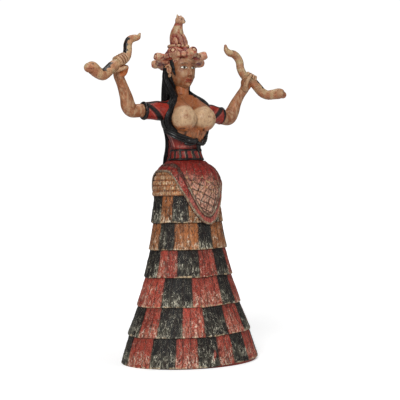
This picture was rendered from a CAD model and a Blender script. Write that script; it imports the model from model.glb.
"""Snake goddess statuette: the painted cast in fine relief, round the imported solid.

Shapes are worked out upright in millimetres, facing -Y with her left hand at +X. Each one is then leaned
with the whole cast and scaled to metres as it becomes a mesh.
"""
import math
from itertools import product

import bpy
import numpy as np
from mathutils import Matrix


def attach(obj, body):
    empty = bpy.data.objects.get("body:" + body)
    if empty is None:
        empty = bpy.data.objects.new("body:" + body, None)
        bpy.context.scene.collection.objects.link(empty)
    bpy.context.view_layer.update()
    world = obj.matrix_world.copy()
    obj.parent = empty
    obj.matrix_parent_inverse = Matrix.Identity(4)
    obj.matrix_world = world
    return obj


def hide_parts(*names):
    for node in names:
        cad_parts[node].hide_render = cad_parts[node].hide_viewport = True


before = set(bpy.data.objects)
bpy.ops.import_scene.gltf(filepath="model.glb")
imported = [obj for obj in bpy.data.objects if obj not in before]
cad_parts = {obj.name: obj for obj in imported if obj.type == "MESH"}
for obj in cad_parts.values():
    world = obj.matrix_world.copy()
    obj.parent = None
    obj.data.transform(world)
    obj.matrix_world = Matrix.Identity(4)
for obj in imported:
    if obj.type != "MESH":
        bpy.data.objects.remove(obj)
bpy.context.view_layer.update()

bl_info = {
    "name": "Snake Goddess Statuette",
    "version": (1, 0, 0),
    "blender": (4, 5, 0),
    "location": "View3D > Sidebar > Statuette",
    "description": "Builds a hand-painted cast of a snake goddess, piece by piece",
    "category": "Add Mesh",
}

NODE = "snake_goddess_statuette"
MM = 0.001
# Her sides, by the sign of X there.
SIDES = dict(right=-1, left=1)
# Rows of points in each round end of a bar.
END_ROWS = 6
# Share of a point's depth below its neighbours that counts as a hollow.
HOLLOW_SCALE = 0.78

# Skirt flounces from the lowest up: hem height, half-width there, depth over width, the angles where the
# painted panels meet, how many equal panels close the round, and the two paints that take turns.
FLOUNCES = [
    dict(hem=1.2, half=62.2, ratio=0.78, edges=[-128, -92.8, -63.5, -40.4, -21.2, -3.3, 11.6, 29.8],
         spare=9, paints=("dark", "red")),
    dict(hem=25.1, half=55.7, ratio=0.79, edges=[-128, -83.4, -60, -35.4, -14, 10, 34.6], spare=8,
         paints=("dark", "red")),
    dict(hem=49, half=47, ratio=0.8, edges=[-128, -60.6, -24.7, 11, 34.1], spare=8,
         paints=("red", "dark")),
    dict(hem=73, half=40.1, ratio=0.81, edges=[-128, -73.5, -43.8, -14.2, 11, 38.4], spare=9,
         paints=("dark", "red")),
    dict(hem=95.5, half=35.2, ratio=0.82, edges=[-128, -78.2, -50.2, -12.4, 10.7, 52], spare=7,
         paints=("ochre", "dark")),
    dict(hem=118, half=32.3, ratio=0.84, edges=[-126, -77.8, -54.8, -27.6], spare=9,
         paints=("dark", "ochre")),
]
# How far each flounce's top lies inside the hem above, the hem's rounding, and how far it turns under.
HEM_STEP = 1.9
HEM_LIP = 1.5
HEM_REACH = 5.5
# Rim below the skirt: how far it lies inside the lowest hem, and how far it runs below the floor.
FOOT_INSET = 1.6
FOOT_DROP = 4.0

# Hips: height, half-width, depth over width.
BAND_BOTTOM = 140.0
BAND_TOP = 160.0
HIPS = np.array([
    [140, 30.2, 0.85], [150, 29.6, 0.85], [156, 28, 0.85], [160, 26, 0.84], [164, 22.6, 0.83],
    [168, 18, 0.8], [171.2, 14.6, 0.76],
])
# Foot of the band, which the top flounce runs up to.
BAND_FOOT = dict(hem=BAND_BOTTOM, half=HIPS[0, 1], ratio=HIPS[0, 2])
# Surface under the apron, with the steps of the upper flounces left out.
APRON_BED = np.vstack([[[95, 35.2, 0.82], [118, 32.3, 0.84]], HIPS])
# Apron: its top, the height of its edge at the sides, how far the lobes hang below that, and the angle and
# swing of each lobe.
APRON_TOP = 169.5
APRON_ARCH = 160.2
APRON_DROP = 45.4
APRON_LOBES = [(5, 1.28), (185, 1.5)]
APRON_THICK = 1.5
APRON_BORDER = 7.0
APRON_FIELD_DROP = 44.8
APRON_PIPING = 0.7
# Radius that turns angles round the apron into mm, and the pitch of the two sets of lines in its lattice.
APRON_RADIUS = 27.5
LATTICE = (6.4, 6.6)

# Torso: height, half-width, depth in front of and behind the middle.
TORSO = np.array([
    [160, 15, 12, 11], [171.2, 14.4, 11, 10.4], [175, 13.2, 10.2, 9.6], [179.6, 12.4, 9.6, 9.2],
    [186, 14.2, 10.4, 9.6], [194, 18.2, 11.4, 10.4], [202, 21.4, 11.2, 11], [209, 23.4, 9.8, 11.4],
    [215, 23.6, 7.6, 10.6], [219.6, 18.5, 5.4, 9.4], [222.8, 11, 3.6, 8.8], [225.6, 6.6, 2, 8.8],
])
# Power that squares the torso's sections.
SQUARE = 0.88
# Angle of the bodice's seams from the front.
SEAM = 83.0
BELT = dict(bottom=170.2, top=178.6, proud=0.9, bead=0.7)
BREAST = dict(x=9.8, y=-13.2, z=204.2, radii=(10.7, 10.4, 10.6), out=24, lift=1.8)
# Bars of the bust: the neck, and on her left the top of a breast, the collarbone and a cord of the neck.
NECK = [[0, 4.2, 219, 8.6], [0, 4.0, 222, 7.2], [0, 3.6, 226, 5.9], [0, 3.8, 240, 5.8]]
BREAST_ROOT = [[8.2, -2.6, 219, 4.6], [8.8, -6.4, 214, 7], [9.4, -10.6, 209, 9]]
COLLARBONE = [[1.6, -1.6, 224.4, 1.2], [8, -3.6, 222.6, 1.1], [15, -4.6, 218.6, 0.9]]
NECK_CORD = [[1.2, -1.4, 224.6, 0.9], [3.6, 0.4, 231, 1.1], [5, 3, 237, 0.9]]
EAR = dict(x=12.3, y=-0.2, part=0.44, scale=1.24, flare=0.4)
HEAD = dict(chin=231.3, top=264.5, half=12, front=13.8, back=13, y=4.4, yaw=-1)

# Arms and sleeves from the shoulder outwards, and snakes from nose to tail: x, y, z, radius.
ARMS = dict(
    right=[[-34, 1, 211.4, 6], [-43, 2, 211.4, 5.7], [-50.8, 3.8, 211.5, 5.9], [-53.8, 3.6, 215, 6.2],
           [-56, 2.8, 221.7, 5.5], [-60.6, 1.5, 232.2, 4.4], [-64.4, 0.6, 239.9, 4.2],
           [-64.8, -0.4, 245, 4.3]],
    left=[[34, 1, 208.4, 6], [42, 2, 207, 6.3], [48.8, 3.4, 207.2, 6.5], [52.8, 3.2, 212.4, 6.1],
          [56.2, 2.2, 220.1, 4.9], [60.9, 1.4, 227.5, 4.1], [65, 0.5, 233.2, 4.1], [65.4, -0.8, 237, 4.3]],
)
SLEEVES = dict(
    right=[[-17, 1.4, 210.6, 8.8], [-27, 0.6, 211.6, 8.1], [-41.4, 1.4, 211.2, 6.9]],
    left=[[17, 1.4, 210.2, 8.8], [27, 0.6, 209.8, 8.1], [38.8, 1, 208.4, 6.9]],
)
SNAKES = dict(
    right=[[-99.2, -12.8, 242.9, 3.9], [-96.4, -12.6, 243.1, 4.9], [-91.1, -11.6, 239.9, 4.7],
           [-85, -9.8, 238.1, 4.4], [-79.4, -7.8, 241.2, 4.4], [-73.7, -6, 245.6, 4.3],
           [-68.1, -4.6, 248.8, 4], [-63, -4, 251, 3.8], [-59.3, -4, 254.6, 3.7], [-57.6, -3.5, 259.5, 3.6],
           [-57, -3, 264.5, 3.5], [-54.7, -2.5, 268.5, 3.3], [-50.4, -2, 270.4, 2.9],
           [-46.2, -1.5, 271.4, 2.2], [-43.8, -1, 274.6, 0.8]],
    left=[[97.6, -13, 227.4, 3.2], [93.6, -13, 228.3, 4.7], [87.6, -12.4, 227.6, 4.4], [81.4, -11, 227, 4.1],
          [76.7, -9.4, 229.2, 4.1], [73.2, -7.4, 233.8, 4.1], [69.6, -5.6, 238.4, 4],
          [64.8, -4.2, 241.4, 3.8], [60, -4, 245.6, 3.5], [57.8, -3.5, 250.4, 3.4],
          [57.3, -3, 255.9, 3.4], [55.1, -2.5, 260, 3.4],
          [51.4, -2.2, 262.6, 3.3], [47, -2, 263.4, 2.9], [44.4, -1.5, 266, 2.3], [43.8, -1, 269.6, 1.2]],
)
# Grip: the place along the snake, how far round it the fingertips reach, the palm's centre, radii and turn,
# and the lines of the thumb and of the heel of the hand.
GRIPS = dict(
    right=dict(at=0.49, tips=-14, palm=[-64.2, -1.2, 246.6], radii=[5, 4.2, 4.8], turn=30,
               thumb=[[-69.6, -3.6, 242.8, 1.8], [-66.6, -7.4, 243.8, 1.8], [-62.4, -8.2, 245.2, 1.5]],
               heel=[[-64.4, -1, 239.4, 3.6], [-61.2, -2.4, 242.6, 3.4], [-59, -3, 245.8, 2.2]]),
    left=dict(at=0.445, tips=22, palm=[65.2, -1.2, 238.4], radii=[4.8, 4.2, 4.6], turn=-35,
              thumb=[[62.4, -4, 232.6, 2.6], [60.4, -8.2, 236.8, 2.0], [61.4, -10, 240.4, 1.6],
                     [63.4, -10.4, 243.4, 1.3]],
              heel=[[64, -1, 233, 3.6], [66, -3, 235.4, 3.2], [67.4, -4, 237.4, 2.2]]),
)
# Reach of the bright wash round the heel of each hand.
HEEL_WASH = np.array([6.4, 7, 5])
SNAKE_SCALLOPS = 15
FINGER_PITCH = 2.5

# Hair fall: height, middle depth, half-width, thickness.
HAIR_FALL = np.array([
    [166.5, 16, 13.4, 1.5], [172, 15.4, 13, 1.7], [180, 14.6, 11.6, 1.7], [191, 14.6, 11.6, 1.8],
    [197, 15, 12.8, 2.2], [204, 15.4, 13.8, 2.8], [212, 15.2, 14, 3.6], [222, 14, 14.2, 5],
    [230, 12.2, 14.4, 6.6], [240, 9.8, 14.2, 8.2], [250, 8.4, 13.2, 8.8], [258, 7.6, 10, 7.8],
])
# Red web of the cast between the waist and the hair: height, half-width, middle depth, thickness.
BACK_WEB = np.array([
    [165, 12.6, 11, 4.4], [172, 11.6, 10.6, 4.6], [180, 10.4, 10.2, 4.6], [187, 9.6, 10.6, 4.4],
    [195, 8, 11.4, 3.6],
])
HAIR_LOCKS = 5
HAIR_TIP = 2.2
SHOULDER_LOCK = [
    [-12.6, 7.4, 247, 3.2], [-14.2, 6.6, 240, 3.4], [-12.8, 4.4, 233.4, 3.6], [-11.7, 1.4, 227.8, 3.7],
    [-11.9, -2.2, 222.2, 3.6], [-13.4, -5, 217.6, 3.4], [-17.2, -6.6, 213.4, 3.3], [-20.4, -7, 208.6, 3.3],
    [-21.8, -6.6, 203.6, 3.3], [-21, -7.2, 199.2, 2.8], [-19, -9, 196, 2.0], [-16.6, -11, 193.8, 1.2],
]
LEFT_STRAND = [[6, 7, 231, 2.2], [8.8, 4.4, 227, 2.2], [13.2, 2.2, 224.2, 1.9], [20.4, 0.6, 220.4, 1.6],
               [26, 0, 215.6, 1.4]]
SIDEBURN = [[11.4, 1.6, 257, 2.0], [12.3, 2.0, 252, 1.7], [11.6, 1.0, 248, 1.3], [12.2, 0, 245, 1.2],
            [11.6, -1.2, 242.4, 0.6]]
# Trim of the open bodice on the torso's front: x and z, from the neck to the point of the V.
TRIMS = dict(
    right=np.array([[9, 225], [14.6, 219.6], [19.6, 214.2], [22, 209.2], [22.4, 204], [21.4, 199.2],
                    [17.8, 194.6], [12.8, 190.6], [6.8, 187.4], [0.4, 184.8]]),
    left=np.array([[8.4, 225], [13.8, 219.6], [18.8, 214.2], [21, 209.2], [21.6, 204], [21, 199.4],
                   [19.2, 194.8], [16.6, 190.6], [13.2, 187], [9.4, 184.4]]),
)
TRIM_HALF = dict(right=3.2, left=2.6)
TRIM_PUSH = 2.4
# Bars of the knot: the band through it, its loop, and the laces.
KNOT = [
    [[-8.2, -12.2, 186.4, 1.5], [-5.6, -14.8, 185.6, 2.3], [-2, -15.4, 185.6, 2.4], [1, -14.6, 186.6, 1.8]],
    [[-8.4, -12.2, 183.4, 1.1], [-5, -14, 183.2, 1.8], [-0.8, -14.4, 183.8, 1.4]],
    [[1.6, -13.6, 184.6, 1.4], [4.4, -14.4, 183.6, 1.4], [8, -14, 183, 1.4], [10.4, -12.8, 184.6, 1.3]],
    [[2.2, -14, 185.6, 1.1], [3.4, -13.2, 182.8, 1.0], [4.4, -12, 180, 0.9], [5.6, -11.2, 177.4, 1.1]],
    [[3.4, -13.6, 185, 1.0], [6, -12.2, 182, 0.9], [6.8, -11.4, 179.6, 0.9], [8.2, -10.6, 178, 1.0]],
    [[2.4, -13.4, 181.6, 0.7], [5.4, -12.2, 181.4, 0.8], [8.6, -11.2, 183, 0.7]],
]

CROWN = dict(x=-0.2, y=6, z=253.6, tilt=15.5, towards=-18, roundels=8, first=-1, reach=24.4)
CROWN_PROFILE = np.array([
    [0, -4.4], [12.6, -4.4], [13.6, -1.6], [19.8, -1.2], [21, 1.8], [15, 4.4], [12, 8], [9.6, 11.8],
    [0, 12.8],
])
ROUNDEL = dict(radius=3.4, inner=12, dish=0.8, rim=0.8, lift=0.9, rise=8)
CAT = dict(x=-0.4, y=5, z=266.2, facing=4, head_turn=18)
CAT_HEAD = np.array([0, -1.2, 23])
# Bars of the cat, those in pairs on its left, and the balls of its head: centre and radii.
CAT_BODY = [[0, 2, 0, 6], [0, 2.6, 4, 6.6], [0, 3.2, 9, 6.5], [0, 3, 13, 5.7], [0, 1.8, 17, 4.3],
            [0, 0.2, 21, 3.3]]
CAT_TAIL = [[0, 8.2, 1.6, 1.5], [-5, 8, 1.3, 1.5], [-8.2, 3, 1.2, 1.4], [-7.8, -2.6, 1, 1.1]]
CAT_PAW = [[5.2, -1, 0.9, 1.5], [4.8, -5.4, 0.8, 1.4]]
CAT_FORELEG = [[2.2, -0.6, 10.5, 2.4], [2.2, -3.6, 7, 2.2], [2.1, -5.4, 3, 1.9], [2.2, -6.6, 0.8, 1.6]]
CAT_EAR = [[2.2, 0.4, 2.2, 2.0], [2.6, 0.6, 3.6, 1.4], [2.9, 0.8, 4.9, 0.45]]
CAT_FACE = [([0, 0, 0], [3.9, 4.3, 3.8]), ([0, -3.2, -1.3], [2.3, 2.1, 1.8]),
            ([0, -4.9, -0.7], [0.7, 0.6, 0.5]), ([0, 0.4, 1.6], [2.8, 3.2, 2.4])]

# Skull: height from chin to top, then half-width, depth in front and behind, all as parts of the head's.
SKULL = np.array([
    [0, 0.3, 0.62, -0.18], [0.035, 0.42, 0.76, 0.1], [0.12, 0.62, 0.88, 0.3], [0.25, 0.82, 0.96, 0.52],
    [0.4, 0.93, 0.98, 0.74], [0.52, 0.98, 0.97, 0.9], [0.66, 1, 0.98, 1], [0.8, 0.95, 0.9, 0.98],
    [0.92, 0.72, 0.64, 0.76], [1, 0.25, 0.2, 0.3],
])
# Face, in mm across from its middle and above the chin.
EYE = dict(x=4.5, z=16.5, half=2.75, upper=1.35, lower=0.95)
NOSE = dict(top=19.5, tip=9.7, rise=3.3)
MOUTH = dict(z=5.9, half=3.5)
# Bells of the face: height, then middle and width across, then middle and width up. They are the wings of the
# nose, nostrils, sockets, eyeballs, the groove above the lips, the hollow below them, chin and cheeks.
FACE_BELLS = [
    (0.75, 1.75, 0.8, 9.9, 1.15), (-0.5, 0.95, 0.42, 8.75, 0.4), (-1.35, 4.5, 2.9, 16.6, 2.3),
    (1.1, 4.5, 2.0, 16.4, 1.5), (-0.25, 0, 0.45, 7.9, 0.7), (-0.4, 0, 2.2, 3.7, 0.6),
    (0.95, 0, 2.6, 1.7, 1.6), (0.5, 6.0, 2.8, 11.6, 2.6),
]

# Finishes: gloss and shine of the paint, scale of the brush marks, strength of the specks, depth of the
# relief in mm, strength, scale and tone of the scratches, and of the cracks.
FINISHES = {
    "cast_cloth": dict(gloss=0.46, shine=0.2, tint=0.4, brush=(900, 900, 190), speck=0.5, depth=0.2,
                       scratch=0.9, scratches=(440, 440, 100), tone=(0.6, 0.56, 0.44), crack=1.0),
    "smooth_cloth": dict(gloss=0.36, shine=0.3, brush=(420, 420, 160), speck=0.3, depth=0.08,
                         scratch=0.15, scratches=(200, 200, 110), tone=(0.4, 0.16, 0.11), crack=0.4),
    "black_gloss": dict(gloss=0.3, shine=0.22, brush=(500, 500, 240), speck=0.0, depth=0.03,
                        scratch=0.05, scratches=(300, 300, 200), tone=(0.2, 0.19, 0.17), crack=0.05),
    "hair": dict(gloss=0.34, shine=0.16, brush=(900, 900, 60), speck=0.0, depth=0.1,
                 scratch=0.2, scratches=(420, 420, 60), tone=(0.1, 0.095, 0.09), crack=0.05),
    "skin": dict(gloss=0.42, shine=0.35, brush=(560, 560, 150), speck=0.15, depth=0.08,
                 scratch=0.5, scratches=(420, 420, 130), tone=(0.5, 0.33, 0.21), crack=0.13),
    "eye": dict(gloss=0.24, brush=(350, 350, 350), speck=0.0, depth=0.01,
                scratch=0.05, scratches=(260, 260, 260), tone=(0.12, 0.055, 0.025), crack=0.05),
    "snake": dict(gloss=0.36, shine=0.4, brush=(380, 380, 380), speck=0.12, depth=0.09,
                  scratch=0.2, scratches=(200, 200, 200), tone=(0.12, 0.055, 0.025), crack=0.15),
    "crown": dict(gloss=0.4, shine=0.42, brush=(380, 380, 380), speck=0.25, depth=0.12,
                  scratch=0.4, scratches=(240, 240, 240), tone=(0.62, 0.42, 0.32), crack=0.15),
}
# Stage: half-width of the floor in metres, then the lights' names, places, sizes and watts.
STAGE_HALF = 20.0
LIGHTS = [("key", (-1.1, -1.0, 0.9), 0.5, 17.5), ("fill", (0.75, -1.1, 0.55), 0.9, 3.8),
          ("top", (0.1, 0.1, 1.4), 0.8, 7)]
LIGHTS_AIM = np.array([0, 0, 0.16])
# Camera: place, lens and sensor width in mm, and the degrees that it looks down and turns.
CAMERA = dict(place=(-0.5067, -0.7378, 0.1488), lens=94.5, sensor=36, down=0.82, turn=-35)


# Numbers

def smoothstep(x, low, high):
    """Rises from 0 at low to 1 at high as 3t^2 - 2t^3."""
    t = np.clip((x - low) / (high - low), 0, 1)
    return t * t * (3 - 2 * t)


def fade(x, low, high):
    """Falls from 1 at low to 0 at high."""
    return 1 - smoothstep(x, low, high)


def window(x, rise, fall):
    """Rises over the first pair of numbers and falls again over the second."""
    return smoothstep(x, *rise) * fade(x, *fall)


def bell(x, width):
    """exp(-(x / width)^2)."""
    return np.exp(-(x / width) ** 2)


def mix(a, b, t):
    """Linear step from a to b; t may be an array for colours a and b."""
    t = np.clip(np.asarray(t, float), 0, 1)[..., None]
    return np.asarray(a) * (1 - t) + np.asarray(b) * t


def unit(v):
    return v / np.maximum(np.linalg.norm(v, axis=-1, keepdims=True), 1e-9)


def distance(points, place):
    return np.linalg.norm(points - place, axis=1)


def largest(*parts):
    """The largest of several arrays at each place."""
    return np.maximum.reduce(np.broadcast_arrays(*parts))


def turns(cols):
    """Angles in degrees all the way round from the back, as a row."""
    return (np.arange(cols) * 360 / cols - 180)[None]


def circle(cols):
    """Angles in radians all the way round from 0, as a row."""
    return np.linspace(0, 2 * np.pi, cols, endpoint=False)[None]


def xyz(x, y, z):
    return np.stack(np.broadcast_arrays(x, y, z), -1)


def value_noise(u, v, around, seed):
    """Random lattice values joined by smooth steps, 0 to 1. The lattice repeats after `around` cells of u."""
    table = np.random.default_rng(seed).random((around, 193))
    iu, iv = np.floor(u).astype(int), np.floor(v).astype(int)
    fu, fv = smoothstep(u - iu, 0, 1), smoothstep(v - iv, 0, 1)
    a, b = iu % around, (iu + 1) % around
    c, d = iv % 193, (iv + 1) % 193
    low = table[a, c] * (1 - fu) + table[b, c] * fu
    high = table[a, d] * (1 - fu) + table[b, d] * fu
    return low * (1 - fv) + high * fv


def cloud(points, size, seed):
    """Random values on a cubic lattice of that size, joined by smooth steps, 0 to 1."""
    table = np.random.default_rng(seed).random((29, 31, 37))
    q = np.asarray(points) / size
    i = np.floor(q).astype(int)
    f = smoothstep(q - i, 0, 1)
    total = np.zeros(q.shape[:-1])
    for corner in product((0, 1), repeat=3):
        step = np.array(corner)
        k = (i + step) % table.shape
        total += np.prod(np.where(step, f, 1 - f), axis=-1) * table[k[..., 0], k[..., 1], k[..., 2]]
    return total


def patches(points, size, seed, low, high):
    """Soft spots where a cloud of that size is high."""
    return smoothstep(cloud(points, size, seed), low, high)


def ridges(noise, sharp):
    """Thin lines where the noise passes its middle: 1 on the line, 0 away from it."""
    return smoothstep(1 - np.abs(2 * noise - 1), sharp, 1)


def smoothed(values, kernel, mode="edge"):
    """A row of values averaged with its neighbours by the weights of the kernel."""
    return np.convolve(np.pad(values, len(kernel) // 2, mode=mode), kernel / np.sum(kernel), "valid")


def hermite(f, a, b, start, end):
    """Cubic from a to b with those slopes at its ends."""
    return (a * (2 * f**3 - 3 * f**2 + 1) + start * (f**3 - 2 * f**2 + f)
            + b * (3 * f**2 - 2 * f**3) + end * (f**3 - f**2))


def smooth_line(points, count):
    """Centripetal Catmull-Rom curve: a cubic between each two points, whose end slopes come from the
    neighbouring steps divided by the square root of their lengths."""
    p = np.asarray(points, float)
    p = np.vstack([2 * p[0] - p[1], p, 2 * p[-1] - p[-2]])
    gap = np.maximum(np.linalg.norm(np.diff(p[:, :3], axis=0), axis=1), 1e-6) ** 0.5
    t = np.linspace(0, len(p) - 3, count)
    i = np.minimum(t.astype(int), len(p) - 4)
    a, b, c, d = p[i], p[i + 1], p[i + 2], p[i + 3]
    g0, g1, g2 = gap[i][:, None], gap[i + 1][:, None], gap[i + 2][:, None]
    start = ((b - a) / g0 - (c - a) / (g0 + g1) + (c - b) / g1) * g1
    end = ((c - b) / g1 - (d - b) / (g1 + g2) + (d - c) / g2) * g1
    return hermite((t - i)[:, None], b, c, start, end)


def table_at(table, z):
    """Rows of a table between its stations, by a cubic. Its slopes are the mean of the steps on each side."""
    x, y = table[:, 0], table[:, 1:]
    z = np.clip(z, x[0], x[-1])
    i = np.clip(np.searchsorted(x, z, side="right") - 1, 0, len(x) - 2)
    width = (x[i + 1] - x[i])[..., None]
    slope = np.gradient(y, x, axis=0)
    return hermite((z - x[i])[..., None] / width, y[i], y[i + 1], slope[i] * width, slope[i + 1] * width)


def turn_about(axis, degrees):
    """Rotation matrix about an axis, by Rodrigues' formula."""
    x, y, z = unit(np.asarray(axis, float))
    k = np.array([[0, -z, y], [z, 0, -x], [-y, x, 0]])
    angle = math.radians(degrees)
    return np.eye(3) + math.sin(angle) * k + (1 - math.cos(angle)) * (k @ k)


def turn_z(points, degrees):
    return points @ turn_about((0, 0, 1), degrees).T


# Shapes: each is a pair of points and faces, and a face that repeats its last point is a triangle.

def closed_skin(grid):
    """Rows of points that run the same way round, with quads between them and a fan at each end."""
    rows, cols = grid.shape[:2]
    r, c = np.mgrid[0:rows - 1, 0:cols]
    n = (c + 1) % cols
    body = np.stack([r * cols + c, r * cols + n, (r + 1) * cols + n, (r + 1) * cols + c], -1).reshape(-1, 4)
    a = np.arange(cols)
    b = (a + 1) % cols
    low = np.full(cols, rows * cols)
    top = (rows - 1) * cols
    fans = np.vstack([np.stack([low, b, a, a], 1), np.stack([low + 1, top + a, top + b, top + b], 1)])
    return with_poles(grid), np.vstack([body, fans])


def with_poles(values):
    """Values of a grid as one list, followed by the mean of its first and of its last row."""
    flat = values.reshape((-1,) + values.shape[2:])
    return np.concatenate([flat, values[:1].mean(1), values[-1:].mean(1)])


def outward(points, faces):
    """The same faces, turned round if the volume they enclose is negative."""
    a, b, c, d = (points[faces[:, k]] for k in range(4))
    if np.sum(a * np.cross(b, c)) + np.sum(a * np.cross(c, d)) >= 0:
        return faces
    flipped = faces[:, [2, 1, 0, 3]]
    three = faces[:, 2] == faces[:, 3]
    flipped[three, 3] = flipped[three, 2]
    return flipped


def joined(shapes):
    """Several shapes as one list of points and faces."""
    firsts = np.cumsum([0] + [len(shape[0]) for shape in shapes])
    return (np.vstack([shape[0] for shape in shapes]),
            np.vstack([outward(*shape) + first for shape, first in zip(shapes, firsts)]))


def grid_normals(grid):
    """Cross product of the steps round and up the grid, which wraps round."""
    round_ = np.roll(grid, -1, 1) - np.roll(grid, 1, 1)
    return unit(np.cross(round_, np.gradient(grid, axis=0)))


def raised(grid, relief):
    """The grid moved along its normals."""
    return grid + grid_normals(grid) * relief[..., None]


def ellipse_grid(half, depth, degrees, z):
    """x = half sin a, y = -depth cos a, with a from the front towards her left."""
    a = np.radians(degrees)
    return xyz(half * np.sin(a), -depth * np.cos(a), z)


def tube(line, sides=20, steps=60, flat=1.0, up=(0, 1, 0), relief=None, tip=1.0):
    """Bar along a smooth line of x, y, z, radius: centre + r (side cos a flat + across sin a), where side is
    the up direction squared to the line. Both ends are half-round. relief(a, t) adds to the radius."""
    path = smooth_line(line, steps)
    centre, radius = path[:, :3], path[:, 3]
    tangent = unit(np.gradient(centre, axis=0))
    lift = np.radians(np.linspace(0, 84, END_ROWS + 1))[1:]
    rows = np.pad(np.arange(steps), END_ROWS, mode="edge")
    push = np.concatenate([-np.sin(lift[::-1]), np.zeros(steps), np.sin(lift)])
    shrink = np.concatenate([np.cos(lift[::-1]), np.ones(steps), np.cos(lift)])
    up = np.asarray(up, float)
    side = unit(up - tangent * (tangent @ up)[:, None])
    across = np.cross(tangent, side)
    a = circle(sides)
    r = radius[rows][:, None] + (relief(a, (rows / (steps - 1))[:, None]) if relief else 0)
    r = r * shrink[:, None]
    middle = centre[rows] + tangent[rows] * (push * radius[rows] * tip)[:, None]
    return closed_skin(middle[:, None] + side[rows][:, None] * (r * np.cos(a) * flat)[..., None]
                       + across[rows][:, None] * (r * np.sin(a))[..., None])


def ball(centre, radii, turn=np.eye(3), around=48, up=28):
    """x = rx cos b sin a, y = -ry cos b cos a, z = rz sin b, turned and moved."""
    b = np.radians(np.linspace(-86, 86, up))[:, None]
    a = circle(around)
    grid = xyz(np.cos(b) * np.sin(a), -np.cos(b) * np.cos(a), np.sin(b)) * np.asarray(radii, float)
    return closed_skin(grid @ turn.T + np.asarray(centre, float))


def both_sides(line):
    """A line of points and radii, and its mirror image on her right."""
    return [np.array(line) * [side, 1, 1, 1] for side in (-1, 1)]


def lean(points):
    """Turned by the lean about its axis, kept above the surface that the foot stands on, in metres."""
    size = bpy.context.scene.statuette_sizes
    axis = (-math.sin(size.lean_axis), -math.cos(size.lean_axis), 0)
    out = points @ turn_about(axis, math.degrees(size.lean)).T
    out[:, 2] = np.maximum(out[:, 2], 0)
    return out * MM


def build_mesh(name, points, faces):
    keep = np.ones(faces.shape, bool)
    keep[:, 3] = faces[:, 2] != faces[:, 3]
    mesh = bpy.data.meshes.new(name)
    mesh.vertices.add(len(points))
    mesh.vertices.foreach_set("co", np.ascontiguousarray(points, np.float32).ravel())
    mesh.loops.add(int(keep.sum()))
    mesh.loops.foreach_set("vertex_index", faces[keep].astype(np.int32))
    mesh.polygons.add(len(faces))
    mesh.polygons.foreach_set("loop_start", np.append(0, np.cumsum(keep.sum(1))[:-1]).astype(np.int32))
    mesh.polygons.foreach_set("use_smooth", np.ones(len(faces), bool))
    mesh.update(calc_edges=True)
    mesh.validate()
    return mesh


def read(items, key, kind, wide=1):
    """One value of every item of a mesh, as an array."""
    values = np.zeros(len(items) * wide, kind)
    items.foreach_get(key, values)
    return values.reshape(-1, wide) if wide > 1 else values


def neighbour_mean(values, edges):
    """Mean of each point's neighbours along the edges, for one column or several."""
    ends, others = edges.ravel(), edges[:, ::-1].ravel()
    count = len(values)
    degree = np.maximum(np.bincount(ends, minlength=count), 1)
    total = np.stack([np.bincount(ends, column[others], count) for column in values.reshape(count, -1).T], 1)
    return (total / degree[:, None]).reshape(values.shape)


def settled(values, edges, rounds):
    """Each value moved to the middle between itself and its neighbours' mean, as often as rounds says."""
    for _ in range(rounds):
        values = (values + neighbour_mean(values, edges)) / 2
    return values


def fused(shapes, voxel, rounds):
    """One skin round overlapping shapes: remeshed on cubes of that size, in mm, then settled."""
    points, faces = joined(shapes)
    mesh = build_mesh("fusing", points * MM, faces)
    obj = bpy.data.objects.new("fusing", mesh)
    bpy.context.scene.collection.objects.link(obj)
    remesh = obj.modifiers.new("fuse", "REMESH")
    remesh.mode = "VOXEL"
    remesh.voxel_size = voxel * MM
    result = bpy.data.meshes.new_from_object(obj.evaluated_get(bpy.context.evaluated_depsgraph_get()))
    points = read(result.vertices, "co", np.float32, 3).astype(float) / MM
    loops = read(result.loops, "vertex_index", np.int32)
    starts = read(result.polygons, "loop_start", np.int32)
    last = np.minimum(np.diff(np.append(starts, len(loops))) - 1, 3)
    faces = loops[starts[:, None] + np.minimum(np.arange(4)[None], last[:, None])]
    points = settled(points, read(result.edges, "vertices", np.int32, 2), rounds)
    bpy.data.objects.remove(obj)
    bpy.data.meshes.remove(mesh)
    bpy.data.meshes.remove(result)
    return points, faces


def hollows(points, normals, edges, rounds):
    """How far each point lies below its neighbours' mean, over the edge length: positive in a hollow and
    negative on a ridge, spread over the neighbours."""
    length = distance(points[edges[:, 0]], points[edges[:, 1]]).mean()
    depth = np.sum((neighbour_mean(points, edges) - points) * normals, axis=1) / length
    return settled(HOLLOW_SCALE * depth, edges, rounds)


def add_piece(name, slot, kind, shape, paint, wear=0.4, spread=3):
    """Puts a shape into the scene as a piece of the cast. paint is a list of linear colours, or a function of
    the points in mm, the normals and the hollows that gives one. wear, from 0 to 1, is how far the paint is
    worn through, as one number or one for each point."""
    points, faces = shape
    mesh = build_mesh(name, lean(points), outward(points, faces))
    if callable(paint):
        normals = read(mesh.vertex_normals, "vector", np.float32, 3).astype(float)
        edges = read(mesh.edges, "vertices", np.int32, 2)
        paint = paint(points, normals, hollows(points, normals, edges, spread))
    colour = np.ones((len(points), 4), np.float32)
    colour[:, :3] = np.clip(paint, 0, 1)
    mesh.attributes.new("paint", "FLOAT_COLOR", "POINT").data.foreach_set("color", colour.ravel())
    worn = np.ones(len(points), np.float32) * np.asarray(wear, np.float32)
    mesh.attributes.new("wear", "FLOAT", "POINT").data.foreach_set("value", worn)
    mesh.materials.append(finish(kind))
    piece = bpy.data.objects.new(name, mesh)
    bpy.context.scene.collection.objects.link(piece)
    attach(piece, "root")
    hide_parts(NODE)


# Paints and finishes

def paints():
    """The named paints as linear colours."""
    group = bpy.context.scene.statuette_paints
    return {key: np.array(getattr(group, key)) for key in PAINTS}


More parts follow.
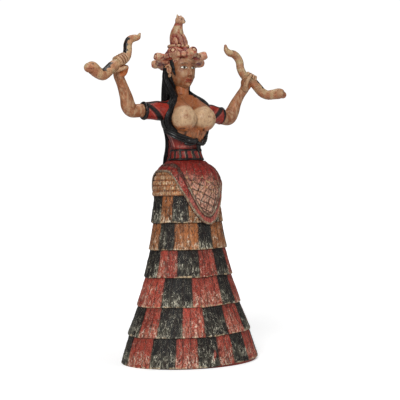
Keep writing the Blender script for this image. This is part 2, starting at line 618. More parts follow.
def shaded(name, shade):
    """A paint at every place, brighter or darker by the shade there."""
    return paints()[name] * np.asarray(shade)[..., None]


def coats(colour, *layers):
    """Coats laid over a colour. Each says how far it covers, its paint's name and, unless 1, how bright."""
    paint = paints()
    for cover, name, *bright in layers:
        colour = mix(colour, paint[name] * bright[0] if bright else paint[name], cover)
    return colour


def fill(tree, node, sockets):
    """Sets sockets, by name or number, each to a value or to another node's output."""
    for key, value in sockets.items():
        if isinstance(key, str):
            socket = next(socket for socket in node.inputs if socket.name == key and socket.enabled)
        else:
            socket = node.inputs[key]
        if hasattr(value, "is_output"):
            tree.links.new(value, socket)
        else:
            socket.default_value = value


def add_node(tree, kind, sockets=None, out=None, **values):
    """Adds a shader node and gives back its first output in use, or the one that out names."""
    node = tree.nodes.new(kind)
    for key, value in values.items():
        setattr(node, key, value)
    fill(tree, node, sockets or {})
    return node.outputs[out] if out else next(socket for socket in node.outputs if socket.enabled)


def painted(name, gloss, brush, speck, depth, scratch, scratches, tone, crack, shine=0.38, tint=0.0):
    """Hand-laid paint over a cast: the piece's own paint colours, streaked along the brush, with dark specks.
    Thin wandering lines lie where a stretched noise is near its middle value. One set has the scratches' tone
    and is as wide as the piece's wear makes it. The other one is the dark cracks."""
    material = bpy.data.materials.new(name)
    material.use_nodes = True
    tree = material.node_tree
    own = dict(attribute_type="GEOMETRY")
    paint = add_node(tree, "ShaderNodeAttribute", out="Color", attribute_name="paint", **own)
    wear = add_node(tree, "ShaderNodeAttribute", out="Fac", attribute_name="wear", **own)
    place = add_node(tree, "ShaderNodeTexCoord", out="Object")

    def noise(scale, detail, stretch=None, bend=0.0):
        source = place
        if stretch:
            source = add_node(tree, "ShaderNodeMapping", {"Vector": place, "Scale": stretch})
        return add_node(tree, "ShaderNodeTexNoise", {
            "Vector": source, "Scale": scale, "Detail": detail, "Roughness": 0.62, "Distortion": bend})

    def ramp(source, low, high, start, end):
        return add_node(tree, "ShaderNodeMapRange", {
            "Value": source, "From Min": low, "From Max": high, "To Min": start, "To Max": end})

    def math_of(operation, *values):
        return add_node(tree, "ShaderNodeMath", dict(enumerate(values)), operation=operation)

    def blend(kind, colour, factor, second):
        return add_node(tree, "ShaderNodeMix", {"A": colour, "B": second, "Factor": factor},
                        data_type="RGBA", blend_type=kind)

    def wandering(source, width):
        off = math_of("ABSOLUTE", math_of("SUBTRACT", source, 0.5))
        return ramp(math_of("DIVIDE", off, width), 0.55, 1.1, 1.0, 0.0)

    streaks = noise(1.0, 5, brush)
    blotch, grit = noise(240, 3), noise(2600, 2)
    broken = ramp(noise(1.0, 2, (330, 330, 150)), 0.42, 0.54, 0.0, 1.0)
    width = math_of("MULTIPLY_ADD", wear, 0.034 * scratch, 0.002 * scratch)
    coarse = wandering(noise(1.0, 1, scratches, 0.35), width)
    fine = wandering(noise(1.6, 1, scratches, 0.3), math_of("MULTIPLY", width, 0.7))
    bright = math_of("MULTIPLY", math_of("MAXIMUM", coarse, fine), broken)
    cracks = wandering(noise(1.0, 2, tuple(0.8 * k for k in brush), 0.6), 0.045 * crack)

    colour = blend("MULTIPLY", paint, ramp(streaks, 0.42, 0.7, 0.0, 0.5), (0.62, 0.52, 0.46, 1))
    colour = blend("MULTIPLY", colour, ramp(blotch, 0.52, 0.74, 0.0, 0.5), (0.6, 0.5, 0.42, 1))
    colour = blend("MIX", colour, math_of("MULTIPLY", cracks, 0.8 * (crack > 0.1)), (0.02, 0.013, 0.01, 1))
    colour = blend("MIX", colour, math_of("MULTIPLY", bright, 0.95), blend("ADD", tone + (1,), tint, paint))
    colour = blend("MULTIPLY", colour, ramp(grit, 0.64, 0.72, 0.0, speck), (0.2, 0.14, 0.1, 1))
    height = math_of("MULTIPLY_ADD", bright, 0.7, math_of("ADD", streaks, grit))
    height = math_of("MULTIPLY_ADD", cracks, -0.8, height)
    fill(tree, tree.nodes["Principled BSDF"], {
        "Specular IOR Level": shine,
        "Base Color": colour,
        "Roughness": ramp(streaks, 0.3, 0.75, gloss - 0.09, gloss + 0.13),
        "Normal": add_node(tree, "ShaderNodeBump", {
            "Strength": 0.6, "Distance": depth * MM, "Height": height}),
    })
    return material


def finish(kind):
    """One material of each kind, made when it is first asked for."""
    name = "paint_" + kind
    return bpy.data.materials.get(name) or painted(name, **FINISHES[kind])


# Skirt

def panel_edges(flounce):
    """Angles of all panel joints: the ones that are given, then equal steps round to the first again."""
    edges = list(flounce["edges"])
    step = (360 + edges[0] - edges[-1]) / flounce["spare"]
    return np.array(edges + [edges[-1] + step * (i + 1) for i in range(flounce["spare"] - 1)])


def distance_to(angles, edges, per_degree):
    """Distance in mm from each angle to the nearest edge, and the number of the part that holds it."""
    turned = (angles - edges[0]) % 360 + edges[0]
    panel = np.clip(np.searchsorted(edges, turned, side="right") - 1, 0, len(edges) - 1)
    after = np.append(edges[1:], edges[0] + 360)[panel]
    return np.minimum(turned - edges[panel], after - turned) * per_degree, panel


def pleat_edges(edges, per_degree, seed):
    """Pleat lines that cut each panel into parts of about 6 mm, each a little off its even place."""
    rng = np.random.default_rng(seed)
    widths = np.diff(np.append(edges, edges[0] + 360))
    cuts = []
    for edge, width in zip(edges, widths):
        parts = max(2, round(width * per_degree / rng.uniform(5.2, 9)))
        cuts += [edge + width * (k + rng.uniform(-0.18, 0.18)) / parts for k in range(1, parts)]
    return np.sort(np.array(cuts))


def flounce_shape(level):
    """One flounce. The half-width runs straight from the hem to under the hem above, and a rounded lip lies
    below. The relief is the sum of the panel grooves, the pleats, bark-like cracks and raised strokes. The
    paint is rubbed where a noise is high, most of all near the hem."""
    size = bpy.context.scene.statuette_sizes
    flounce, above = (FLOUNCES + [BAND_FOOT])[level:level + 2]
    half, ratio, hem = flounce["half"], flounce["ratio"], flounce["hem"]
    cols = int(round(math.pi * half * (1 + ratio) / size.detail / 8)) * 8
    angles = turns(cols)[0]
    turn = np.radians(angles)
    per_degree = np.hypot(half * np.cos(turn), half * ratio * np.sin(turn)) * (math.pi / 180)
    scale = per_degree.mean()
    u = np.cumsum(per_degree) * 360 / cols
    around = u[-1] + per_degree[0] * 360 / cols
    rise = above["hem"] + 1 - hem
    v = np.linspace(0, rise, int(round(rise / size.detail)))[:, None]
    part = v / rise

    def noise(width, tall, seed, shift=0.0):
        cells = max(4, int(round(around / width)))
        place = np.broadcast_to(u + shift, (len(v), cols))
        return value_noise(place * cells / around, v / tall, cells, 1000 * (level + 1) + seed)

    wander = (noise(7, 6, 1) - 0.5) * 2.6
    edges = panel_edges(flounce)
    edge_gap, panel = distance_to(angles + wander * 0.25 / scale, edges, per_degree)
    pleats = pleat_edges(edges, scale, 1000 * level + 7)
    pleat_gap, fold = distance_to(angles + wander * 0.4 / scale, pleats, per_degree)
    tilt = np.random.default_rng(level + 50).uniform(-0.2, 0.2, len(pleats))[fold]
    strokes = ridges(noise(1.5, 6.5, 2, wander), 0.8)
    fine = ridges(noise(0.95, 4.2, 3, wander), 0.78)
    cracks = ridges(noise(2.2, 9, 4, wander * 1.4), 0.84) * smoothstep(noise(9, 12, 5), 0.35, 0.6)
    broad = noise(15, 11, 6)
    relief = (
        -size.groove * bell(edge_gap, 0.5) - 0.7 * size.groove * bell(pleat_gap, 0.38)
        + tilt * smoothstep(pleat_gap, 0, 1.2) - size.bark * 0.9 * cracks
        + size.bark * (0.55 * strokes + 0.3 * fine) + 0.35 * (broad - 0.5))
    ragged = (noise(2.4, 50, 11) - 0.5) * 0.3 + (noise(9, 50, 12) - 0.5) * 0.45
    grow = fade(v, 0.0, 1.4)
    deep = half * ratio
    skin = ellipse_grid(
        half + (above["half"] - HEM_STEP - half) * part,
        deep + (above["half"] * above["ratio"] - HEM_STEP - deep) * part,
        angles, hem + v + size.wave * np.sin(np.radians(angles * 5)) * grow + ragged * grow)
    bend = np.radians(np.array([84, 58, 32, 8]))[:, None]
    inset = HEM_LIP * 0.5 * (1 - np.cos(bend))
    lip = ellipse_grid(half - inset, deep - inset, angles, skin[:1, :, 2] - 0.55 * np.sin(bend))
    under = ellipse_grid(half - HEM_REACH, deep - HEM_REACH, angles, skin[:1, :, 2] + 0.9)
    grid = np.concatenate([under, lip, raised(skin, relief * (1 - 0.55 * grow))])

    paint = paints()
    names = [flounce["paints"][k % 2] for k in range(len(edges))]
    bright = np.random.default_rng(level + 80).uniform(0.88, 1.12, (len(edges), 1))
    tones = np.array([paint[name] for name in names]) * bright
    worn = np.array([paint[name + "_rub"] for name in names])[panel]
    dark = np.array([name == "dark" for name in names])[panel]
    low = fade(part, 0.1, 0.85)
    rub = noise(10, 8, 8) * 0.6 + noise(3.5, 3, 9) * 0.4
    bare = smoothstep(rub + 0.22 * (low - 0.5), 0.4, 0.72) * (0.15 + 0.85 * low)
    lines = np.clip(strokes * (0.4 + 0.9 * bare) + fine * (0.15 + 0.75 * bare) + 0.3 * bare, 0, 1)
    lines = lines * np.where(dark, 0.6, 1) * (1 - smoothstep(part, 0.8, 0.98) * 0.75)
    colour = mix(tones[panel] * (0.78 + 0.4 * broad[..., None]), worn, lines * 0.4)
    colour = mix(colour, worn, 0.6 * bell(edge_gap - 0.85, 0.35) * (0.2 + 0.8 * low) * bare)
    hem_line = fade(v - 0.6 * noise(2.6, 9, 13), 0.1, 0.6) * smoothstep(noise(2.6, 50, 14), 0.36, 0.62)
    dirt = 0.9 * bell(edge_gap, 0.42) + 0.95 * bell(pleat_gap, 0.4) + 0.8 * cracks
    colour = coats(colour, (hem_line * 0.8, "cream"), (np.clip(dirt, 0, 1) * 0.88, "dirt"),
                   (0.6 * smoothstep(v, rise - 2.4, rise - 0.4), "dirt"))
    if level == 0:
        chip = bell(angles + 7.2 - 0.28 * (v - 8), 0.9 + 0.1 * (13 - v)) * bell(v - 8, 5.0)
        colour = coats(colour, (smoothstep(chip + 0.35 * (noise(1.6, 3, 15) - 0.5), 0.3, 0.55), "red", 0.85))
    edge = coats(np.repeat(colour[:1], len(lip), axis=0), (np.linspace(0.85, 0.1, len(lip))[:, None], "dirt"))
    inner = np.broadcast_to(paint["dirt"], (1, cols, 3))
    wear = (0.1 + 0.9 * bare + 0.25 * fade(v, 0.5, 3.5)) * np.where(dark, 0.84, 0.76) * fade(part, 0.72, 0.95)
    wear = np.clip(wear * (1 - 0.7 * np.maximum(bell(edge_gap, 0.5), bell(pleat_gap, 0.5))), 0, 1)
    wear = np.concatenate([np.full((1 + len(lip), cols), 0.1), wear])
    return closed_skin(grid), with_poles(np.concatenate([inner, edge, colour])), with_poles(wear)


def foot_shape():
    """Rim that the skirt stands on: straight from the floor to inside the lowest hem."""
    lowest = FLOUNCES[0]
    angles = turns(360)
    z = np.linspace(-FOOT_DROP, lowest["hem"] + 1, 14)[:, None]
    grid = ellipse_grid(lowest["half"] - FOOT_INSET, lowest["half"] * lowest["ratio"] - FOOT_INSET, angles, z)
    cells = 90
    grain = value_noise(np.broadcast_to(angles / 360 * cells, grid.shape[:2]), z / 1.4, cells, 5)
    colour = coats(shaded("red", np.ones_like(grain)), (0.5 * grain, "dirt"))
    return closed_skin(raised(grid, grain * 0.4 - 0.2)), with_poles(colour)


def hip_band_shape():
    """Ribbed band at the hips: the rib is the square root of a sine of the height, with brushed strokes."""
    angles = turns(360)
    z = np.linspace(BAND_BOTTOM - 4, BAND_TOP + 3, 76)[:, None]
    pitch = 4.4
    rib = np.abs(np.sin(np.pi * (z - BAND_BOTTOM) / pitch)) ** 0.5
    inside = smoothstep(z, BAND_BOTTOM - 0.6, BAND_BOTTOM + 0.4)
    cells = 110
    u = np.broadcast_to(angles / 360 * cells, (len(z), 360))
    strokes = value_noise(u, z / 2.4, cells, 21)
    broad = value_noise(u / 5, z / 9, cells // 5, 22)
    ticks = ridges(value_noise(u * 1.5, z / 3, cells * 3 // 2, 24), 0.75)
    proud = (0.95 * rib - 0.6 + 0.3 * (strokes - 0.5) + 0.22 * ticks * rib) * inside - 2.5 * (1 - inside)
    half, ratio = np.moveaxis(table_at(HIPS, z), -1, 0)
    grid = ellipse_grid(half + proud, half * ratio + proud, angles, z)
    colour = coats(
        shaded("ochre", 0.8 + 0.6 * broad),
        (smoothstep(rib, 0.7, 1) * (0.1 + 0.7 * strokes) * 0.6 + 0.3 * ticks, "ochre_rub"),
        (0.85 * ticks * smoothstep(rib, 0.6, 0.9), "cream"), (fade(rib, 0.2, 0.55) * 0.85, "dirt"))
    return closed_skin(grid), with_poles(colour)


# Apron

def apron_edges(angles):
    """Heights of the lower edge and of the border's inner edge all the way round: the arch less the drop
    times cos^p of the angle from the lobe's middle times its swing, smoothed by a bell. The power p is 1.75
    for the lower edge and 3.4 for the inner one, or 2.4 towards her left."""
    hang = np.zeros_like(angles)
    for centre, swing in APRON_LOBES:
        away = np.abs((angles - centre + 540) % 360 - 180) * swing
        hang = np.maximum(hang, np.where(away < 90, np.cos(np.radians(np.minimum(away, 90))), 0))
    kernel = bell(np.arange(-26, 27) * 360 / len(angles), 8)
    outer = APRON_ARCH - APRON_DROP * hang**1.75
    inner = APRON_ARCH + APRON_BORDER - APRON_FIELD_DROP * hang ** (3.4 - window(angles, (15, 35), (75, 85)))
    return smoothed(outer, kernel, "wrap"), smoothed(inner, kernel, "wrap")


def apron_shape():
    """Apron over the bed of the hips. Its border runs between two pipings, and its field is carved with
    slanting lines that cross in a lattice and short strokes inside each cell."""
    cols = 380
    angles = turns(cols)[0]
    outer, inner = apron_edges(angles)
    inside = np.concatenate([np.linspace(0, 1, 24), 1 + np.linspace(0, 1, 77)[1:]])[:, None]
    on_border = inside <= 1
    border, field = np.clip(inside, 0, 1), np.clip(inside - 1, 0, 1)
    z = np.where(on_border, outer + (inner - outer) * border, inner + (APRON_TOP - inner) * field)
    half, ratio = np.moveaxis(table_at(APRON_BED, z), -1, 0)
    u = np.radians(angles)[None] * APRON_RADIUS
    per = 2 * math.pi * APRON_RADIUS
    slope = np.gradient((outer + inner) / 2) / (per / cols)
    width = ((inner - outer) / np.sqrt(1 + slope**2))[None]
    across = border * width

    def noise(width, tall, seed):
        cells = int(round(per / width))
        return value_noise((u + per / 2) * cells / per, z / tall, cells, 300 + seed)

    outer_pipe, inner_pipe = bell(across - 0.9, 0.72), bell(across - (width - 0.85), 0.62)
    gap = np.maximum(bell(across - (width - 2.0), 0.42), fade(across, 0.1, 0.35))
    wobble = (noise(5, 5, 1) - 0.5) * 1.2
    first = (z + 0.5 * u + wobble) / LATTICE[0]
    second = (u - 0.42 * z + wobble) / LATTICE[1]
    place = (smoothstep(field, 0.0, 0.05) * fade(z, 151, 160) * smoothstep(inside, 1.0, 1.02)
             * (np.abs(angles)[None] < 90))
    gaps = [np.abs(part - np.round(part)) * pitch * square
            for part, pitch, square in zip((first, second), LATTICE, (0.87, 0.92))]
    lattice = np.maximum(*[bell(part, 0.56) for part in gaps]) * place
    seams = bell((u + 31.5) % 7 - 3.5, 0.5) * window(z, (150, 154), (167, 169))
    leaf_u = (second - np.floor(second) - 0.5) * LATTICE[1]
    leaf_v = (first - np.floor(first) - 0.5) * LATTICE[0]
    swap = (np.floor(first) + np.floor(second)) % 2
    vein = bell(leaf_u - (leaf_v * 0.6 - 0.4) * (1 - 2 * swap), 0.38) * (np.abs(leaf_v) < 1.9)
    vein = np.maximum(vein, bell(leaf_u + leaf_v * 0.9 + 0.9, 0.34) * (np.abs(leaf_v - 0.5) < 1.2)) * place
    strokes = ridges(noise(1.4, 3.2, 2), 0.8)
    pipes = APRON_PIPING * (outer_pipe + 0.75 * inner_pipe) - 0.25 * gap
    proud = APRON_THICK + np.where(on_border, pipes, -0.35) - 0.65 * lattice - 0.35 * vein - 0.4 * seams
    proud = proud + 0.1 * strokes + 0.3 * (noise(6, 6, 3) - 0.5)
    proud = proud - 0.4 * bell(across - width, 0.4) - 1.6 * smoothstep(field, 0.94, 1)
    below, below_ratio = table_at(APRON_BED, outer).T
    edge = [ellipse_grid(below + out, below * below_ratio + out, angles, outer + up)[None]
            for out, up in ((-3, 0.6), (0.2, 0.1), (0.9, -0.15), (1.3, -0.1))]
    cap = ellipse_grid(8, 6, angles, np.full(cols, APRON_TOP + 1.2))[None]
    grid = np.concatenate(edge + [ellipse_grid(half + proud, half * ratio + proud, angles, z), cap])

    paint = paints()
    broad, worn = noise(8, 8, 4), noise(2.2, 2.2, 6)
    faded = fade(z + 9 * (broad - 0.5), 142, 163)
    arch = smoothstep(z, 147, 153)
    tan = np.where(inside > 1, faded * (0.6 + 0.7 * noise(3, 3, 5)), 0.12 * broad)
    band = mix(paint["apron_red"], paint["rose"], 0.5 * broad * fade(z, 150, 160))
    field_colour = mix(paint["apron_red"], paint["apron_tan"], tan)
    piping = mix(paint["grey_cream"], paint["black"], arch * (across > width / 2))
    both = np.clip(1.2 * (outer_pipe + inner_pipe), 0, 1) * (0.6 + 0.6 * worn) * on_border
    rim = bell(across - width - 0.1, 0.35) * (inside < 1.05)
    colour = coats(
        mix(np.where(on_border[..., None], band, field_colour), piping, both),
        (0.5 * strokes * np.where(inside > 1, faded, 0.35), "ochre_rub"),
        (largest(lattice, 0.85 * vein, 0.8 * seams, gap * on_border, 0.8 * rim), "dirt"),
        (0.5 * smoothstep(z, 165, 169), "apron_red", 0.7))
    under = coats(colour[:1], (np.full((1, cols), 0.6), "dirt"))
    rubbed = 0.12 + 0.3 * np.clip(outer_pipe + inner_pipe * (1 - 1.3 * arch), 0, 1)
    wear = np.where(inside > 1, 0.04 + 0.22 * faded, rubbed) * (0.4 + worn)
    wear = np.concatenate([np.full((len(edge), cols), 0.2), wear, wear[-1:]])
    colour = np.concatenate([under] * len(edge) + [colour, colour[-1:]])
    return closed_skin(grid), with_poles(colour), with_poles(wear)


# Torso, belt, sleeves and trims

def torso_points(degrees, z, proud=0.0):
    """Rounded-square section: half sign(s) |s|^0.88 across and depth sign(c) |c|^0.88 to the front."""
    row = table_at(TORSO, z)
    a = np.radians(degrees)
    s, c = np.sin(a), np.cos(a)
    depth = np.where(c > 0, row[..., 1], row[..., 2]) + proud
    return xyz((row[..., 0] + proud) * np.sign(s) * np.abs(s) ** SQUARE,
               -depth * np.sign(c) * np.abs(c) ** SQUARE, z)


def torso_front(x, z):
    """Depth of the torso's front above a point of the front elevation."""
    row = table_at(TORSO, z)
    across = np.minimum(np.abs(x) / row[..., 0], 0.995) ** (1 / SQUARE)
    return -row[..., 1] * np.sqrt(1 - across**2) ** SQUARE


def bodice_shape():
    """Bodice with soft folds, and a raised seam down each side where the front meets the darker back."""
    angles = turns(180)
    z = np.linspace(TORSO[0, 0], TORSO[-1, 0], 120)[:, None]
    base = torso_points(angles, z)
    seam = bell((np.abs(angles) - SEAM) * 0.22, 0.55) * window(z, (179, 182), (203, 206))
    folds = cloud(base * [1, 1, 0.5], 5.5, 31) - 0.5
    grid = raised(base, 0.3 * folds + 0.35 * seam)
    behind = smoothstep(np.abs(angles), SEAM + 2, SEAM + 8) * np.ones_like(z)
    low = bell(z - 181.2, 0.9) * smoothstep(np.cos(np.radians(angles)), 0.2, 0.6)
    colour = coats(shaded("bodice", 0.86 + 0.4 * cloud(base, 7, 32)), (0.75 * behind, "bodice_back"),
                   (seam * 0.95, "rose"), (0.45 * low, "rose"))
    return closed_skin(grid), with_poles(colour)


def belt_shape():
    """Band round the waist: a black line above and below, and slanted bars raised between them."""
    bottom, top = BELT["bottom"], BELT["top"]
    angles = turns(300)
    z = np.linspace(bottom - 1, top + 1, 34)[:, None]
    front = smoothstep(118 - np.abs(angles), 0, 6)
    rail = (bell(z - (bottom + 0.4), 0.85) + bell(z - (top - 0.4), 0.85)) * front
    place = (angles + 1.7 * np.sin((z - (bottom + top) / 2) * 0.75) + 12) % 24 - 12
    bar = bell(place, 6.4) * front
    proud = BELT["proud"] * (0.3 + 0.7 * front) + BELT["bead"] * np.clip(rail, 0, 1) + 0.4 * bar * (1 - rail)
    ends = window(z, (bottom - 1, bottom - 0.3), (top + 0.3, top + 1))
    grid = torso_points(angles, z, proud * ends - 0.8 * (1 - ends))
    shine = 0.5 * bell(place + 4.5, 0.7) * (1 - np.clip(rail, 0, 1)) * front
    colour = coats(
        shaded("bodice", np.ones(grid.shape[:2])), (1 - front, "bodice_back"),
        (smoothstep(bar, 0.45, 0.6), "black"), (shine, "cream"), (smoothstep(rail, 0.3, 0.5), "black"))
    return closed_skin(grid), with_poles(colour)


def back_web_shape():
    """Web of the cast between the back and the hair, with slanting folds."""
    a = circle(80)
    z = np.linspace(BACK_WEB[0, 0], BACK_WEB[-1, 0], 50)[:, None]
    half, middle, thick = np.moveaxis(table_at(BACK_WEB, z), -1, 0)
    s, c = np.sin(a), np.cos(a)
    fold = 0.3 * np.sin(z * 0.8 + 3 * s) + 0.2 * np.sin(z * 1.7 - 5 * s)
    grid = xyz(half * np.abs(s) ** SQUARE * np.sign(s), middle - thick * c + fold * np.abs(s), z)
    return closed_skin(grid), with_poles(shaded("bodice_back", 1 + 0.5 * fold))


def sleeve_shape(side):
    """Sleeve with soft creases round the arm and a rolled end. A black band crosses it to the armpit."""
    end = abs(SLEEVES[side][-1][0])

    def relief(a, t):
        return 0.35 * np.sin(14 * t + 2.2 * np.sin(a)) * (1 - t) + 0.75 * bell(t - 0.965, 0.04)

    def paint_sleeve(points, normals, hollow):
        x, y, z = points.T
        along = SIDES[side] * x
        top = bell(np.where(normals[:, 2] > 0.55, y + 3.5 - (along - 20) * 0.06, 9), 1.5)
        off = along - end + 7.4 - (z - 210.8) * 1.1
        in_front = normals[:, 1] < 0.25
        black = largest(smoothstep(along, end - 2.2, end - 1.6), top, bell(off, 3.1) * in_front)
        return coats(shaded("sleeve", 0.85 + 0.35 * cloud(points, 6, 41)),
                     (0.35 * bell(np.abs(off) - 3.9, 0.45) * in_front, "rose"),
                     (smoothstep(black, 0.3, 0.6), "black"))

    return tube(SLEEVES[side], sides=72, steps=64, up=(0, 0, 1), relief=relief, tip=0.08), paint_sleeve


def trim_shape(side):
    """Ribbed band of the open bodice: its smooth line in the front elevation, laid on the torso. Across the
    band the height is a rounded edge plus ribs as cosine waves, and its underside lies in the torso."""
    line = smooth_line(np.column_stack([TRIMS[side], np.zeros(len(TRIMS[side]))]), 112)
    x, z = -line[:, 0], line[:, 1]
    step = 0.4
    slope_x = (torso_front(x + step, z) - torso_front(x - step, z)) / (2 * step)
    slope_z = (torso_front(x, z + step) - torso_front(x, z - step)) / (2 * step)
    normal = unit(xyz(slope_x, -1, slope_z))
    normal[:, 1] = np.minimum(normal[:, 1], -0.45)
    push = 0.3 + TRIM_PUSH * bell(z - 190, 7)
    mirror = [-SIDES[side], 1, 1]
    path = (xyz(x, torso_front(x, z), z) + unit(normal) * push[:, None]) * mirror
    normal = unit(normal * mirror)
    tangent = unit(np.gradient(path, axis=0))
    normal = unit(normal - tangent * np.sum(normal * tangent, 1)[:, None])
    across = np.cross(tangent, normal)
    s = np.linspace(-1, 1, 25)
    top = 1.8 * (1 - s**4) ** 0.5 + 0.32 * np.cos(3 * np.pi * (s + 1) + np.pi) * (1 - s**6)
    width = np.concatenate([s, s[::-1][1:-1]]) * TRIM_HALF[side]
    height = np.hstack([np.tile(top, (len(path), 1)), np.repeat(-(push + 0.9)[:, None], 23, axis=1)])
    taper = window(np.linspace(0, 1, len(path)), (-0.001, 0.035), (0.965, 1.001))
    width = width * (0.3 + 0.7 * taper)[:, None]
    height = height * (0.4 + 0.6 * taper)[:, None]
    return closed_skin(path[:, None] + across[:, None] * width[..., None]
                       + normal[:, None] * height[..., None])


def rubbed_paint(name, rise, seed, least, stretch=1.0):
    """A dark paint with its grey worn onto the ridges, over that rise in height, by least or more."""
    def paint_rubbed(points, normals, hollow):
        worn = smoothstep(-hollow, *rise) * (least + (1 - least) * cloud(points * [1, 1, stretch], 2.4, seed))
        return coats(shaded(name, np.ones(len(points))), (0.4 * worn, name + "_rub"))

    return paint_rubbed


def knot_shape():
    """Knot beside the point of the V, a loop on her left, and the laces that hang from it to the belt."""
    return fused([tube(line, sides=20, steps=40) for line in KNOT], 0.36, 1)


# Skin

def skin_paint(points, normals, hollow):
    """Tan skin with an orange-brown wash in the hollows, and paler where it is worn."""
    drawn = points * [1, 1, 0.5]
    mottled = 0.5 * cloud(drawn, 3.4, 71) + 0.5 * cloud(drawn, 1.1, 70)
    right, left = [distance(points / HEEL_WASH, np.mean(grip["heel"], axis=0)[:3] / HEEL_WASH)
                   for grip in GRIPS.values()]
    return coats(
        shaded("skin", 0.48 + mottled), (0.8 * patches(drawn, 2.6, 72, 0.42, 0.75), "wash"),
        (0.6 * patches(drawn, 1.7, 73, 0.46, 0.85), "breast"),
        (0.55 * smoothstep(-hollow, 0.02, 0.09), "breast"),
        (0.9 * fade(np.minimum(right, left + 0.3), 0.6, 1.2), "wash_bright"),
        (0.95 * smoothstep(hollow, 0.006, 0.05), "wash", 0.6))


def breast_tips(points):
    """The points of the skin nearest to where each breast points, out by its angle."""
    b = BREAST
    angle = math.radians(b["out"])
    out, front = b["x"] + b["radii"][0] * math.sin(angle), b["y"] - b["radii"][1] * math.cos(angle)
    return [points[np.argmin(distance(points, [side * out, front, b["z"] + b["lift"]]))] for side in (-1, 1)]


def bust_shape():
    """Breasts, the open chest between the trims and the neck, fused to one skin. Below the breasts the chest
    has creases, a sine across it."""
    b = BREAST
    shapes = [ball([side * b["x"], b["y"], b["z"]], b["radii"], around=90, up=50) for side in (-1, 1)]
    shapes += [tube(line, sides=60, steps=20) for line in both_sides(BREAST_ROOT)]
    z = np.linspace(184, 225.4, 90)[:, None]
    a = np.radians(turns(120) + 180)
    reach = {side: np.interp(z, table[::-1, 1], table[::-1, 0]) for side, table in TRIMS.items()}
    x = np.where(np.sin(a) > 0, reach["left"], reach["right"]) * np.sin(a)
    front = torso_front(x, z) - 0.9 - 1.2 * bell(z - 193, 6)
    shapes.append(closed_skin(xyz(x, np.where(np.cos(a) >= 0, front, front + 6), z)))
    shapes.append(tube(NECK, sides=48, steps=30, up=(1, 0, 0), tip=0.2))
    shapes += [tube(line, sides=14, steps=20) for bar in (COLLARBONE, NECK_CORD) for line in both_sides(bar)]
    points, faces = fused(shapes, 0.54, 3)
    for tip in breast_tips(points):
        away = distance(points, tip)
        out = unit(tip - [0, 0, b["z"] - 4])
        points = points + out * (0.9 * bell(away, 0.8) + 0.25 * bell(away, 2.4))[:, None]
    crease = np.sin(points[:, 0] * 1.7 + 0.5 * np.sin(points[:, 2] * 0.7)) * bell(points[:, 2] - 190.5, 5)
    return points + np.outer(crease * 0.35, [0, -1, 0]), faces


def bust_paint(points, normals, hollow):
    """Cream over the breasts, an orange-brown wash on the chest and neck, and dark lines in the creases."""
    front, z = -points[:, 1], points[:, 2]
    b = BREAST
    away = np.minimum(*[np.linalg.norm((points - [side * b["x"], b["y"], b["z"]]) / b["radii"], axis=1)
                        for side in (-1, 1)])
    mottled = cloud(points, 3.2, 75)
    on_breast = fade(away, 1.02, 1.13) * smoothstep(front + 5 * (cloud(points, 3, 74) - 0.5), 7, 13)
    lit = on_breast * smoothstep(z + 4 * (mottled - 0.5), 194.5, 199)
    above = window(z, (207, 216), (216, 221)) * smoothstep(front, 4, 8)
    under = window(z, (184, 188), (195, 200))
    ring = sum(bell(distance(points, tip) - 1.7, 0.45) for tip in breast_tips(points))
    return coats(
        shaded("wash", 0.75 + 0.6 * cloud(points, 6, 76)),
        (0.65 * smoothstep(z, 219, 232) * smoothstep(mottled, 0.2, 0.7), "skin"),
        (0.4 * bell(z - 231, 6.5) * patches(points, 4, 79, 0.25, 0.6), "wash_bright"),
        (0.6 * above * mottled, "skin"), (lit, "breast", 0.9 + 0.2 * mottled[:, None]),
        (0.4 * lit * patches(points, 2.1, 80, 0.64, 0.85), "wash"),
        (0.8 * smoothstep(hollow, 0.02, 0.08), "wash", 0.45),
        (0.85 * under * patches(points, 3, 82, 0.2, 0.5), "skin", 1.3),
        (0.45 * under * patches(points, 4, 77, 0.42, 0.6), "wash_bright"),
        (0.75 * under * patches(points * [2, 1, 0.6], 2.6, 81, 0.6, 0.75), "dirt"),
        (0.6 * ring + 0.5 * lit * patches(points, 1.1, 78, 0.8, 0.9), "wash"))


def hand_frame(side):
    """Centre and radius of the snake in the grip, with the directions along it, to the front and up."""
    path = smooth_line(SNAKES[side], 401)
    i = int(round(GRIPS[side]["at"] * 400))
    along = unit(path[i + 2, :3] - path[i - 2, :3])
    front = np.array([0, -1.0, 0])
    front = unit(front - along * (front @ along))
    top = np.cross(front, along)
    return path[i, :3], path[i, 3], along, front, -top if top[2] < 0 else top


def digit_lines(side):
    """Lines of the four fingers, bent round the snake from behind it, and of the thumb: x, y, z, radius."""
    centre, core, along, front, top = hand_frame(side)
    bends = np.linspace(215, GRIPS[side]["tips"], 9)
    thick = np.array([1.45, 1.5, 1.5, 1.65, 1.45, 1.4, 1.45, 1.3, 1.15])
    lift = np.array([0.2, 0.7, 1.0, 1.35, 1.25, 1.15, 1.2, 1.0, 0.7])
    lines = []
    for k in range(4):
        a = np.radians(bends + 5 * math.sin(k * 2.1))
        reach = core + lift * (1 - 0.06 * abs(k - 1.5))
        line = (centre + along * (k - 1.5) * FINGER_PITCH + front * (reach * np.cos(a))[:, None]
                + top * (reach * np.sin(a))[:, None])
        lines.append(np.column_stack([line, thick * (1 - 0.05 * k)]))
    return lines + [np.array(GRIPS[side]["thumb"], float)]


